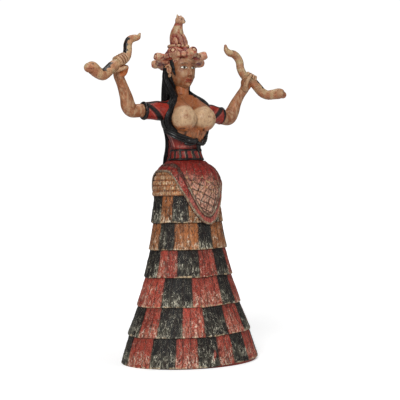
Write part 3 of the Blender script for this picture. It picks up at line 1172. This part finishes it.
def arm_shape(side):
    """Arm, palm, four fingers that close over the snake and the thumb below them, fused to one skin."""
    grip, along = GRIPS[side], hand_frame(side)[2]

    def muscle(a, t):
        return 0.25 * np.cos(2 * a) * np.sin(np.pi * t)

    *fingers, thumb = digit_lines(side)
    return fused([
        tube(ARMS[side], sides=40, steps=120, relief=muscle),
        ball(grip["palm"], grip["radii"], turn_about((0, 1, 0), grip["turn"])),
        tube(thumb, sides=20, steps=30), *[tube(line, sides=18, steps=48, up=along) for line in fingers],
        ball(np.array(ARMS[side][-1][:3]) + [0, 0.2, 1], [4.2, 3.8, 4.4]),
        tube(grip["heel"], sides=24, steps=24)], 0.42, 2)


def arm_paint(side):
    """Skin with a dark wash in the gaps beside each digit, and paler along their tops."""
    def paint_arm(points, normals, hollow):
        colour = skin_paint(points, normals, hollow)
        near = np.flatnonzero(distance(points, hand_frame(side)[0]) < 16)
        off = []
        for line in digit_lines(side):
            path = smooth_line(line, 60)
            away = np.linalg.norm(points[near, None] - path[None, :, :3], axis=2) - path[None, :, 3]
            off.append(away.min(1))
        closest, second = np.sort(np.stack(off), axis=0)[:2]
        gaps = bell(second - closest, 0.35) * (closest < 0.6)
        foot = bell(off[-1] - 0.75, 0.35) * smoothstep(away.argmin(1) / 60, 0.3, 0.6)
        high = fade(closest, -0.1, 0.25) * smoothstep(second - closest, 0.5, 1.2)
        colour[near] = coats(
            colour[near], (0.45 * high, "breast", 1.1), (0.8 * np.maximum(gaps, foot), "dirt"))
        return colour

    return paint_arm


# Head

def eye_bounds(x):
    """Heights of the upper and the lower lid: two parabolas that meet at the corners of the eye."""
    part = np.clip((x - EYE["x"]) / EYE["half"], -1, 1)
    arch = 1 - part**2
    return EYE["z"] + EYE["upper"] * arch + 0.12 * part, EYE["z"] - EYE["lower"] * arch + 0.12 * part


def face_relief(x, z):
    """Relief in mm: the sum of the face's bells, the ridge of the nose, lids along the two lid lines, brows
    and lips."""
    relief = sum(high * bell(x - across, wide) * bell(z - up, tall)
                 for high, across, wide, up, tall in FACE_BELLS)
    bridge = smoothstep(NOSE["top"] - z, 0, NOSE["top"] - NOSE["tip"])
    ridge = bell(x, 0.95 + 1.15 * smoothstep(16 - z, 0, 6.5))
    relief = relief + NOSE["rise"] * bridge * smoothstep(z, NOSE["tip"] - 1, NOSE["tip"] + 0.5) * ridge
    upper, lower = eye_bounds(x)
    near = bell(x - EYE["x"], 2.9)
    relief += (0.34 * bell(z - upper - 0.2, 0.3) + 0.24 * bell(z - lower + 0.16, 0.28)
               - 0.22 * bell(z - upper - 0.85, 0.28)) * near
    brow = 19.4 + 0.5 * bell(x - 5.2, 2.6)
    relief += 0.5 * bell(z - brow, 0.85) * bell(x - 4.8, 3.0)
    corner = fade(x, MOUTH["half"] - 1.3, MOUTH["half"] + 0.2)
    up = z - MOUTH["z"]
    upper_lip = 0.9 * bell(up - 0.75 - 0.25 * bell(x - 0.95, 0.7), 0.62)
    return relief + (upper_lip + bell(up + 0.9, 0.8) - 0.55 * bell(up, 0.22)) * corner


def place_head(points):
    return turn_z(points, HEAD["yaw"]) + [0, HEAD["y"], 0]


def head_shape():
    """Skull sections with the face in relief: x = half sin a, y = -(depth cos a + relief), z = chin + part of
    the height. Angles are spaced closer on the face: a = t - 0.45 sin t. The face's own coordinates, across
    and above the chin, are kept for the paint."""
    t = np.radians(turns(210))
    a = t - 0.45 * np.sin(t)
    level = np.linspace(0, 0.86, 170)[:, None]
    tall = HEAD["top"] - HEAD["chin"]
    shape = table_at(SKULL, level)
    s, c = np.sin(a), np.cos(a)
    x = HEAD["half"] * shape[..., 0] * s
    depth = np.where(c > 0, HEAD["front"] * shape[..., 1], HEAD["back"] * shape[..., 2])
    relief = np.where(c > 0, face_relief(np.abs(x), level * tall) * np.maximum(c, 0) ** 0.5, 0)
    local, faces = closed_skin(xyz(x, -(depth * c + relief), HEAD["chin"] + level * tall))
    return (place_head(local), faces), local


def head_paint(local):
    """Paint of the head by the face's own coordinates."""
    def paint_face(points, normals, hollow):
        x, z = np.abs(local[:, 0]), local[:, 2] - HEAD["chin"]
        facing = smoothstep(-local[:, 1], 1.5, 5.5)
        high = largest(bell(x - 5.6, 2.4) * bell(z - 11.6, 2.2), bell(x, 4) * bell(z - 23.4, 2),
                       bell(x, 1.5) * bell(z - 1.9, 1.4), bell(x, 0.8) * bell(z - 13, 3.2))
        upper, lower = eye_bounds(x)
        lid = bell(x - EYE["x"], 3.0) * bell(z - upper - 1.5, 1.1)
        within = np.abs(x - EYE["x"]) < EYE["half"] + 0.35
        line = np.maximum(bell(z - upper - 0.05, 0.26), 0.7 * bell(z - lower + 0.05, 0.2)) * within
        brow = 19.6 + 0.7 * bell(x - 4.6, 2.4) - 0.12 * (x - 4.6)
        hair = bell(z - brow, 0.42 * (1.25 - 0.1 * x)) * window(x, (1.2, 2.2), (7.2, 8.4))
        corner, up = fade(x, MOUTH["half"] - 0.7, MOUTH["half"] + 0.1), z - MOUTH["z"]
        return coats(
            skin_paint(points, normals, hollow * 0.5) * 0.85,
            (0.3 + 0.35 * facing * patches(points, 3, 61, 0.35, 0.7), "wash"),
            (0.65 * facing * high, "breast"),
            (0.55 * facing * bell(x - 9.8, 2.0) * smoothstep(z, 3, 9), "wash", 0.8),
            (0.75 * facing * lid, "wash", 0.8), (0.95 * facing * line, "dirt"),
            (0.85 * facing * hair, "dirt"),
            (0.6 * facing * corner * window(up, (-1.9, -1.4), (1.05, 1.5)), "lips"),
            (0.8 * facing * corner * bell(up, 0.22), "dirt"),
            (0.5 * facing * bell(x - 1.9, 0.7) * bell(z - 9.2, 1.2), "wash"),
            (smoothstep(local[:, 1], 0.5, 3.0) * smoothstep(z, 6, 9), "hair"))

    return paint_face


def eye_shape(side):
    """Eye as a thin lens between the lid lines, a little proud of the face: along a ray from its middle
    x = half r cos a and z = height r |sin a| sin a, which meets both lines at r = 1."""
    rays = circle(64)
    inwards = np.linspace(1, 0.06, 16)
    out = np.concatenate([np.linspace(0.06, 1, 9), inwards])[:, None]
    proud = np.concatenate([np.full(9, -0.7), 0.05 + 0.32 * (1 - inwards**2)])[:, None]
    x = EYE["x"] + EYE["half"] * out * np.cos(rays)
    tall = np.where(np.sin(rays) > 0, EYE["upper"], EYE["lower"])
    z = EYE["z"] + tall * out * np.abs(np.sin(rays)) * np.sin(rays)
    section = table_at(SKULL, z / (HEAD["top"] - HEAD["chin"]))
    c = np.sqrt(1 - np.clip(x / (HEAD["half"] * section[..., 0]), -1, 1) ** 2)
    y = -(HEAD["front"] * section[..., 1] * c + face_relief(x, z) * c**0.5 + proud)
    local, faces = closed_skin(xyz(side * x, y, HEAD["chin"] + z))
    return (place_head(local), faces), local


def eye_paint(local):
    """White, a brown iris and a black pupil, with a dark rim at the lids."""
    x, z = np.abs(local[:, 0]), local[:, 2] - HEAD["chin"]
    iris = np.hypot(x - EYE["x"], z - EYE["z"] - 0.25)
    upper, lower = eye_bounds(x)
    return coats(
        shaded("eye_white", np.ones(len(local))), (fade(iris, 1.0, 1.2), "iris"),
        (fade(iris, 0.45, 0.62), "black"),
        (np.maximum(fade(upper - z, 0.1, 0.34), fade(z - lower, 0.05, 0.2)), "dirt"))


def ear_shape(side):
    """Rim of the ear as a bar along most of an oval, the bowl inside it, its fold and the lobe below."""
    middle = np.array([side * EAR["x"], EAR["y"], HEAD["chin"] + (HEAD["top"] - HEAD["chin"]) * EAR["part"]])
    t = np.radians(np.linspace(-130, 140, 12))
    rim = xyz(side * (0.5 + 0.5 * np.sin(t + 1)), 2.1 * np.cos(t), 3.7 * np.sin(t)) + middle
    fold = [[side * 0.7, -1.2, -1.8, 0.5], [side * 0.8, 0.5, -0.4, 0.5], [side * 0.7, 0.6, 1.8, 0.45]]
    points, faces = fused([
        tube(np.column_stack([rim, np.full(12, 0.62)]), sides=14, steps=50, up=(1, 0, 0)),
        ball(middle + [-side * 0.1, 0.2, 0], [0.9, 1.9, 3.3]),
        tube(np.array(fold) + np.append(middle, 0), sides=14, steps=20),
        ball(middle + [side * 0.3, -0.7, -3.4], [0.8, 1.1, 1.2])], 0.22, 2)
    points[:, 0] += side * EAR["flare"] * (points[:, 1] - middle[1])
    return place_head(middle + (points - middle) * EAR["scale"]), faces


# Hair

def hair_fall_shape():
    """Long fall: across a row the depth is thick (1 - a^4)^0.5. The back is cut into locks by a cosine and
    into strands by stretched noise."""
    t = circle(220)
    part = np.linspace(0, 1, 140)[:, None]
    z = HAIR_FALL[0, 0] + (HAIR_FALL[-1, 0] - HAIR_FALL[0, 0]) * part
    middle, half, thick = np.moveaxis(table_at(HAIR_FALL, z), -1, 0)
    a, back = np.cos(t), np.sin(t) >= 0
    rise = np.sqrt(np.maximum(1 - a**4, 0))
    wave = 0.35 * np.sin(z / 9 + 2.2 * a)
    lock = 0.5 - 0.5 * np.cos(np.pi * HAIR_LOCKS * (a + 1 + 0.05 * wave))
    strands = value_noise((a + wave * 0.06) * 17 + 40, z / 34, 97, 95) - 0.5
    fine = value_noise((a + wave * 0.06) * 44 + 90, z / 22, 193, 96) - 0.5
    depth = thick * rise + (lock - 1 + 0.75 * strands + 0.35 * fine) * np.where(back, rise, 0.35 * rise)
    x = (half + 0.2 * strands) * a - 2.2 * bell(z - 235, 7) * np.maximum(a, 0)
    return closed_skin(xyz(x, middle + np.where(back, depth, -depth),
                           z - HAIR_TIP * lock * fade(part, 0, 0.1) * np.where(back, 1, 0.6)))


def lock_shape(line, count, deep, seed, **shape):
    """A lock of hair as a bar, with strands cut along it as two cosines round it that shift on the way."""
    def relief(a, t):
        shift = 0.5 * np.sin(3 * t + seed)
        return deep * (np.cos(count * (a + shift)) - 0.4 + 0.5 * np.cos((2 * count + 1) * (a + shift * 1.4)))

    return tube(line, sides=54, steps=84, relief=relief, **shape)


def lock_shapes():
    """Locks over the shoulder, at the neck and beside the face, by name."""
    points, faces = lock_shape(np.array(SIDEBURN) * [-1, 1, 1, 1], 5, 0.16, 3, flat=1.1)
    return {
        "hair_lock_right_shoulder": lock_shape(SHOULDER_LOCK, 7, 0.2, 1, flat=0.8),
        "hair_lock_left_shoulder": lock_shape(LEFT_STRAND, 5, 0.12, 2),
        "hair_sideburn": (turn_z(points, HEAD["yaw"]) + [0.4, -1.9, 0], faces),
    }


# Crown

def place_crown(points):
    towards = math.radians(CROWN["towards"])
    axis = (math.cos(towards), math.sin(towards), 0)
    return points @ turn_about(axis, -CROWN["tilt"]).T + [CROWN["x"], CROWN["y"], CROWN["z"]]


def crown_shape():
    """Disc, band and mound turned from one rounded outline. Petals are cut into the brim, rosettes and dots
    stand on the band, and the mound has slanting folds."""
    steps = np.linalg.norm(np.diff(CROWN_PROFILE, axis=0), axis=1)
    run = np.concatenate([[0], np.cumsum(steps)])
    s = np.linspace(0.15, run[-1] - 0.15, 120)
    r, z = [smoothed(np.interp(s, run, column), bell(np.arange(-6, 7), 2))[:, None]
            for column in CROWN_PROFILE.T]
    place, a = s[:, None], circle(300)
    grid = xyz(r * np.sin(a), -r * np.cos(a), z)
    band = window(place, (run[1] + 0.2, run[1] + 1), (run[2] - 0.6, run[2]))
    brim = window(place, (run[3] - 3.5, run[3]), (run[4] + 3, run[4] + 6))
    mound = window(place, (run[5] - 1, run[5] + 1), (run[7] - 1, run[7] + 1))
    dots = bell((a * 22 / np.pi) % 2 - 1, 0.42) * bell(place - run[1] - 2.1, 0.75)
    petals = np.abs(np.sin(a * 12)) ** 0.5
    folds = np.sin(a * 9 + place * 0.55)
    lumps = cloud(grid, 3.4, 111) - 0.5
    relief = 0.7 * dots * band + 0.75 * (petals - 0.8) * brim + 0.45 * folds * mound + 0.9 * lumps
    points, faces = closed_skin(raised(grid, relief * np.minimum(1, r / 8)))
    under = bell(place - (run[2] + run[3]) / 2, 2.6)
    deep = smoothstep(-lumps, 0.0, 0.16) + (1 - petals) * brim + 0.5 * under
    deep = deep + smoothstep(-folds, 0.1, 0.8) * mound
    return (place_crown(points), faces), with_poles(np.clip(band * (1 - dots) + 0.8 * deep, 0, 1))


def crown_paint(red, wash=0.8):
    """Pink over a dark red wash that stays in the hollows and on the band."""
    def paint_crown(points, normals, hollow):
        pale = smoothstep(-hollow, 0.008, 0.05) * (0.15 + 0.7 * cloud(points, 2.6, 115))
        return coats(
            shaded("crown", np.ones(len(points))), (wash * patches(points, 3, 116, 0.36, 0.6), "crown_red"),
            (0.95 * red, "crown_red"), (smoothstep(hollow, -0.004, 0.035), "crown_red", 0.6),
            (np.maximum(pale, -0.7 * red), "cream"))

    return paint_crown


def roundel_shape(k):
    """Short stub that points outwards, with a rim, a dished ring and a boss on its end."""
    rim, radius, inner = ROUNDEL["rim"], ROUNDEL["radius"], ROUNDEL["inner"]
    length = CROWN["reach"] - inner
    dish = length - ROUNDEL["dish"]
    outline = np.array([
        [0.6, 0], [radius * 1.25, 0.2], [radius * 1.1, length * 0.5], [radius * 1.08, length - 2.6],
        [radius * 1.02, length - 1.4], [radius * 0.86, length - 0.45], [radius - rim, length],
        [radius - rim * 1.4, length - 0.1], [radius - rim * 1.8, dish], [1.55, dish],
        [1.4, length - 0.25], [1.0, length + 0.05], [0.3, length + 0.12],
    ])
    t, a = np.linspace(0, len(outline) - 1, 64), circle(40)
    r, y = [smoothed(np.interp(t, np.arange(len(outline)), column), [1, 2, 1])[:, None]
            for column in outline.T]
    grid = xyz(r * np.cos(a), -y - inner, r * np.sin(a))
    grid = grid + (cloud(grid + 40 * k, 2.2, 121)[..., None] - 0.5) * unit(grid * [1, 0, 1]) * 0.5
    points, faces = closed_skin(grid)
    lift = [0, 0, ROUNDEL["lift"] - inner * math.sin(math.radians(ROUNDEL["rise"]))]
    points = points @ turn_about((1, 0, 0), -ROUNDEL["rise"]).T + lift
    points = turn_z(points, CROWN["first"] + k * 360 / CROWN["roundels"])
    ring = (bell(r - 2.1, 0.36) - (r < 1.4)) * (y > length - 1.2) * np.ones_like(a)
    return (place_crown(points), faces), with_poles(ring)


# Cat

def place_cat(points):
    return turn_z(points, CAT["facing"]) + [CAT["x"], CAT["y"], CAT["z"]]


def cat_shape():
    """Seated cat: pear-shaped body, tail laid round, haunches, paws, forelegs, ears, head and muzzle, on a
    low foot. Its own points are kept for the paint."""
    shapes = [tube(CAT_BODY, sides=48, steps=50, up=(1, 0, 0)),
              tube(CAT_TAIL, sides=24, steps=50, up=(0, 0, 1))]
    shapes += [ball([side * 5.0, 0.8, 4.2], [2.8, 4.9, 4.8]) for side in (-1, 1)]
    shapes += [tube(line, sides=20, steps=16) for line in both_sides(CAT_PAW)]
    shapes += [tube(line, sides=24, steps=40) for line in both_sides(CAT_FORELEG)]
    head = [tube(line, sides=20, steps=20, flat=0.6) for line in both_sides(CAT_EAR)]
    head += [ball(centre, radii) for centre, radii in CAT_FACE]
    shapes += [(turn_z(points, CAT["head_turn"]) + CAT_HEAD, faces) for points, faces in head]
    local, faces = fused(shapes + [ball([0, 1.4, -0.6], [8.6, 8.4, 2.2])], 0.32, 2)
    return (place_cat(local), faces), local


def cat_paint(local):
    """Pink-tan with red in the hollows and low down, a paler chest, a red collar, and dark nose and eyes."""
    def paint_cat(points, normals, hollow):
        y, z = local[:, 1], local[:, 2]
        face = turn_z(local - CAT_HEAD, -CAT["head_turn"])
        chest = smoothstep(z, 8, 13) * (1 - 0.6 * smoothstep(z, 18, 20))
        nose = fade(distance(face, [0, -5.3, -0.6]), 0.8, 1.2)
        eyes = fade(distance(np.abs(face), [2.2, 3.3, 0.7]), 0.55, 0.95) * (face[:, 1] < 0) * (face[:, 2] > 0)
        return coats(
            shaded("cat", np.ones(len(points))), (0.6 * patches(points, 2.6, 131, 0.48, 0.7), "crown_red"),
            (0.75 * chest * patches(points, 2.4, 135, 0.3, 0.55), "snake_pale"),
            (0.85 * fade(z, 7, 17) * patches(points * [1, 1, 0.5], 3, 133, 0.4, 0.6), "crown_red"),
            (smoothstep(hollow, 0.0, 0.04), "crown_red", 0.75),
            (0.6 * smoothstep(-hollow, 0.01, 0.06), "cream"),
            (0.8 * bell(z - 19.4 - 0.12 * y, 0.75), "lips"), (np.maximum(nose, 0.85 * eyes), "dirt"))

    return paint_cat


# Snakes

def snake_shape(side):
    """Snake along its line. Towards the nose the section widens at the jaws, with brows over the eyes and a
    groove for the mouth. Faint scales are crossing waves round and along the body. The turn round the body
    and the place along it are kept for the paint."""
    dorsal = 1 if side == "right" else -1

    def relief(a, t):
        high = np.sin(a) * dorsal
        brow = 0.35 * bell(t - 0.045, 0.013) * (bell(np.cos(a) - 0.62, 0.28) + bell(np.cos(a) + 0.62, 0.28))
        mouth = -0.4 * bell(high + 0.28, 0.1) * window(t, (0.004, 0.014), (0.04, 0.07))
        jaw = 0.15 * bell(t - 0.06, 0.03) * np.abs(np.cos(a))
        scales = 0.1 * np.sin(9 * a + 150 * t) * np.sin(9 * a - 150 * t)
        return brow * (high > 0) + mouth + jaw + scales * smoothstep(t, 0.08, 0.14)

    steps, sides = 220, 48
    rows = np.pad(np.arange(steps), END_ROWS, mode="edge")[:, None] / (steps - 1)
    around, along = np.broadcast_arrays(np.degrees(circle(sides)), rows)
    return tube(SNAKES[side], sides=sides, steps=steps, relief=relief), with_poles(around), with_poles(along)


def snake_paint(side, around, along):
    """Cream tan, mottled, with a black band along the back whose lower edge is scalloped."""
    def paint_snake(points, normals, hollow):
        below = smoothstep(-normals[:, 2], -0.1, 0.8)
        wide = 20 * bell((along * SNAKE_SCALLOPS) % 1 - 0.5, 0.2)
        high = np.sin(np.radians(around))
        if side == "right":
            tone, wide = 0.96, wide + 26
            off = np.abs((around - 112 + 180) % 360 - 180)
            parts = ((0.14, 0.36), (0.53, 0.79))
        else:
            tone, wide, high = 0.7, wide + 13, -high
            off = np.degrees(np.arccos(np.clip(normals @ unit(np.array([0.34, -0.67, 0.66])), -1, 1)))
            parts = ((0.275, 0.4), (0.185, 0.225), (0.79, 0.86))
        place = sum(window(along, (start, start + 0.012), (end - 0.012, end)) for start, end in parts)
        mouth = bell(high + 0.28, 0.1) * fade(along, 0.04, 0.065)
        eye = bell(along - 0.043, 0.009) * bell(high - 0.5, 0.16) * (np.abs(np.cos(np.radians(around))) > 0.3)
        return coats(
            shaded("snake", tone * (0.8 + 0.4 * cloud(points, 4, 141))),
            (0.9 * smoothstep(cloud(points, 5, 142) + 0.25 * below, 0.38, 0.85), "snake_wash"),
            (0.75 * smoothstep(cloud(points, 3.6, 143) - 0.2 * below, 0.36, 0.76), "snake_pale"),
            (fade(off, wide - 3, wide + 3) * place, "black", np.array([1.9, 0.9, 0.6])),
            (0.85 * mouth, "lips", 0.6), (1.1 * eye, "dirt"),
            (0.6 * smoothstep(hollow, 0.02, 0.09), "snake_wash", 0.7))

    return paint_snake


# Settings

PAINTS = {
    "red": (176, 71, 57), "red_rub": (206, 152, 122), "dark": (12, 13, 16), "dark_rub": (176, 172, 146),
    "ochre": (166, 100, 56), "ochre_rub": (208, 166, 124), "cream": (218, 190, 150), "dirt": (36, 18, 13),
    "grey_cream": (150, 138, 112), "apron_red": (150, 38, 30), "apron_tan": (224, 166, 142),
    "bodice": (127, 29, 21), "bodice_back": (90, 22, 20), "sleeve": (145, 38, 25), "rose": (206, 140, 128),
    "black": (13, 12, 14), "black_rub": (66, 66, 65), "hair": (11, 10, 12), "hair_rub": (44, 43, 44),
    "skin": (160, 106, 72), "breast": (194, 161, 125), "wash": (142, 82, 46), "wash_bright": (194, 102, 42),
    "eye_white": (216, 210, 194), "iris": (84, 62, 40), "lips": (146, 46, 36), "snake": (200, 150, 110),
    "snake_wash": (166, 102, 68), "snake_pale": (190, 168, 128), "crown": (187, 85, 62),
    "crown_red": (120, 26, 20), "cat": (178, 116, 86),
}


def linear(rgb):
    """Screen values 0 to 255 as linear light, by the sRGB curve."""
    c = np.array(rgb) / 255
    return tuple(np.where(c <= 0.04045, c / 12.92, ((c + 0.055) / 1.055) ** 2.4).tolist())


class StatuetteSizes(bpy.types.PropertyGroup):
    """Sizes that the surface detail is worked out from."""

    lean: bpy.props.FloatProperty(
        name="Lean", description="How far the cast leans to her right", default=math.radians(1.3),
        subtype="ANGLE")
    lean_axis: bpy.props.FloatProperty(
        name="Lean axis", description="Turn of the axis that the cast leans about, from straight back",
        default=math.radians(35), subtype="ANGLE")
    detail: bpy.props.FloatProperty(
        name="Detail", description="Step between the points of the skirt, in mm", default=0.70, min=0.3,
        max=3)
    groove: bpy.props.FloatProperty(
        name="Groove", description="Depth of the grooves between the skirt's panels, in mm", default=0.5)
    bark: bpy.props.FloatProperty(
        name="Strokes", description="Height of the carved strokes on the skirt, in mm", default=0.36)
    wave: bpy.props.FloatProperty(
        name="Hem wave", description="Rise and fall of each hem, in mm", default=0.25)


class StatuettePaints(bpy.types.PropertyGroup):
    """Paints of the cast."""

    __annotations__ = {
        key: bpy.props.FloatVectorProperty(
            name=key.replace("_", " ").capitalize(), description="Paint: " + key.replace("_", " "),
            default=linear(value), size=3, subtype="COLOR", min=0, max=1)
        for key, value in PAINTS.items()
    }


class StatuetteOperator:
    """Options that all the operators share."""

    bl_options = {"REGISTER", "UNDO"}


class STATUETTE_OT_skirt(StatuetteOperator, bpy.types.Operator):
    """Add the six flounces of the skirt, the rim below them and the ribbed band at the hips"""

    bl_idname = "statuette.skirt"
    bl_label = "Add skirt"

    def execute(self, context):
        add_piece("foot_rim", "skirt_red", "smooth_cloth", *foot_shape())
        for level, flounce in enumerate(FLOUNCES):
            slot = "skirt_ochre" if "ochre" in flounce["paints"] else "skirt_red"
            add_piece(f"skirt_flounce_{level + 1}", slot, "cast_cloth", *flounce_shape(level))
        add_piece("hip_band", "skirt_ochre", "cast_cloth", *hip_band_shape(), 0.3)
        return {"FINISHED"}


class STATUETTE_OT_apron(StatuetteOperator, bpy.types.Operator):
    """Add the apron with its piped border and carved lattice"""

    bl_idname = "statuette.apron"
    bl_label = "Add apron"

    def execute(self, context):
        add_piece("apron", "skirt_red", "cast_cloth", *apron_shape())
        return {"FINISHED"}


class STATUETTE_OT_bodice(StatuetteOperator, bpy.types.Operator):
    """Add the bodice, the belt, the sleeves, the trims and the knot"""

    bl_idname = "statuette.bodice"
    bl_label = "Add bodice"

    def execute(self, context):
        black = rubbed_paint("black", (0.004, 0.05), 61, 0.75)
        add_piece("bodice", "bodice_red", "smooth_cloth", *bodice_shape())
        add_piece("back_web", "bodice_red", "smooth_cloth", *back_web_shape())
        add_piece("belt", "trim_black", "smooth_cloth", *belt_shape())
        for side in SIDES:
            add_piece("sleeve_" + side, "bodice_red", "smooth_cloth", *sleeve_shape(side))
            add_piece("trim_" + side, "trim_black", "black_gloss", trim_shape(side), black)
        add_piece("knot_and_laces", "trim_black", "black_gloss", knot_shape(), black)
        return {"FINISHED"}


class STATUETTE_OT_skin(StatuetteOperator, bpy.types.Operator):
    """Add the bust with the neck, both arms with their hands, the ears, the head and the eyes"""

    bl_idname = "statuette.skin"
    bl_label = "Add skin"

    def execute(self, context):
        add_piece("bust", "skin", "skin", bust_shape(), bust_paint)
        for side, way in SIDES.items():
            add_piece("arm_" + side, "skin", "skin", arm_shape(side), arm_paint(side), spread=2)
            add_piece("ear_" + side, "skin", "skin", ear_shape(way), skin_paint)
        shape, local = head_shape()
        add_piece("head", "skin", "skin", shape, head_paint(local))
        for side, way in SIDES.items():
            shape, local = eye_shape(way)
            add_piece("eye_" + side, "eye_white", "eye", shape, eye_paint(local), 0)
        return {"FINISHED"}


class STATUETTE_OT_hair(StatuetteOperator, bpy.types.Operator):
    """Add the long fall of hair and its locks"""

    bl_idname = "statuette.hair"
    bl_label = "Add hair"

    def execute(self, context):
        black = rubbed_paint("hair", (0.0, 0.06), 91, 0.3, 0.3)
        add_piece("hair_fall", "hair_black", "hair", hair_fall_shape(), black)
        for name, shape in lock_shapes().items():
            add_piece(name, "hair_black", "hair", shape, black)
        return {"FINISHED"}


class STATUETTE_OT_crown(StatuetteOperator, bpy.types.Operator):
    """Add the crown, its roundels and the cat on it"""

    bl_idname = "statuette.crown"
    bl_label = "Add crown and cat"

    def execute(self, context):
        shape, red = crown_shape()
        add_piece("crown", "crown_pink", "crown", shape, crown_paint(red))
        for k in range(CROWN["roundels"]):
            shape, ring = roundel_shape(k)
            add_piece(f"crown_roundel_{k + 1}", "crown_pink", "crown", shape, crown_paint(ring, 0.5))
        shape, local = cat_shape()
        add_piece("cat", "crown_pink", "crown", shape, cat_paint(local))
        return {"FINISHED"}


class STATUETTE_OT_snakes(StatuetteOperator, bpy.types.Operator):
    """Add the two snakes"""

    bl_idname = "statuette.snakes"
    bl_label = "Add snakes"

    def execute(self, context):
        for side in SIDES:
            shape, around, along = snake_shape(side)
            add_piece("snake_" + side, "snake_cream", "snake", shape, snake_paint(side, around, along))
        return {"FINISHED"}


class STATUETTE_OT_stage(StatuetteOperator, bpy.types.Operator):
    """Add the floor, the lights and the camera"""

    bl_idname = "statuette.stage"
    bl_label = "Add stage"

    def execute(self, context):
        scene = context.scene
        scene.view_settings.view_transform = "Standard"
        white = (1, 1, 1, 1)
        mesh = build_mesh("floor", STAGE_HALF * np.array([[-1, -1, 0], [1, -1, 0], [1, 1, 0], [-1, 1, 0]]),
                          np.array([[0, 1, 2, 3]]))
        plain = bpy.data.materials.new("pale_floor")
        plain.use_nodes = True
        tree = plain.node_tree
        place = add_node(tree, "ShaderNodeTexCoord", out="Object")
        away = add_node(tree, "ShaderNodeVectorMath", {0: place}, out="Value", operation="LENGTH")
        glow = add_node(tree, "ShaderNodeMapRange", {
            "Value": away, "From Min": 0.2, "From Max": 1.1, "To Min": 0.42, "To Max": 1.0})
        seen = add_node(tree, "ShaderNodeLightPath", out="Is Camera Ray")
        fill(tree, tree.nodes["Principled BSDF"], {
            "Base Color": (0.8, 0.8, 0.8, 1), "Roughness": 0.7, "Emission Color": white,
            "Emission Strength": add_node(tree, "ShaderNodeMath", {0: glow, 1: seen}, operation="MULTIPLY")})
        mesh.materials.append(plain)
        floor = bpy.data.objects.new("floor", mesh)
        scene.collection.objects.link(floor)

        world = bpy.data.worlds.new("studio")
        world.use_nodes = True
        tree = world.node_tree
        fill(tree, tree.nodes["Background"], {"Color": white, "Strength": 0.2})
        wall = add_node(tree, "ShaderNodeBackground", {"Color": white, "Strength": 1.05})
        seen = add_node(tree, "ShaderNodeLightPath", out="Is Camera Ray")
        fill(tree, tree.nodes["World Output"], {"Surface": add_node(
            tree, "ShaderNodeMixShader", {0: seen, 1: tree.nodes["Background"].outputs[0], 2: wall})})
        scene.world = world
        for name, place, size, watts in LIGHTS:
            light = bpy.data.lights.new(name, "AREA")
            light.size = size
            light.energy = watts
            lamp = bpy.data.objects.new(name, light)
            lamp.location = place
            x, y, z = LIGHTS_AIM - place
            lamp.rotation_euler = (math.atan2(math.hypot(x, y), -z), 0, math.atan2(-x, y))
            scene.collection.objects.link(lamp)

        camera = bpy.data.cameras.new("view")
        camera.lens = CAMERA["lens"]
        camera.sensor_width = CAMERA["sensor"]
        eye = bpy.data.objects.new("view", camera)
        eye.location = CAMERA["place"]
        eye.rotation_euler = (math.radians(90 - CAMERA["down"]), 0, math.radians(CAMERA["turn"]))
        scene.collection.objects.link(eye)
        scene.camera = eye
        return {"FINISHED"}


OPERATORS = [
    STATUETTE_OT_skirt, STATUETTE_OT_apron, STATUETTE_OT_bodice, STATUETTE_OT_skin, STATUETTE_OT_hair,
    STATUETTE_OT_crown, STATUETTE_OT_snakes, STATUETTE_OT_stage,
]


class STATUETTE_PT_panel(bpy.types.Panel):
    """The steps that build the statuette, in order"""

    bl_idname = "STATUETTE_PT_panel"
    bl_label = "Statuette"
    bl_space_type = "VIEW_3D"
    bl_region_type = "UI"
    bl_category = "Statuette"

    def draw(self, context):
        for operator in OPERATORS:
            self.layout.operator(operator.bl_idname)
        for key in StatuetteSizes.__annotations__:
            self.layout.prop(context.scene.statuette_sizes, key)
        for key in PAINTS:
            self.layout.prop(context.scene.statuette_paints, key)


CLASSES = [StatuetteSizes, StatuettePaints, *OPERATORS, STATUETTE_PT_panel]


def register():
    for item in CLASSES:
        bpy.utils.register_class(item)
    bpy.types.Scene.statuette_sizes = bpy.props.PointerProperty(type=StatuetteSizes)
    bpy.types.Scene.statuette_paints = bpy.props.PointerProperty(type=StatuettePaints)


def unregister():
    del bpy.types.Scene.statuette_paints
    del bpy.types.Scene.statuette_sizes
    for item in reversed(CLASSES):
        bpy.utils.unregister_class(item)


def main():
    register()
    for operator in OPERATORS:
        group, name = operator.bl_idname.split(".")
        getattr(getattr(bpy.ops, group), name)()


if __name__ == "__main__":
    main()
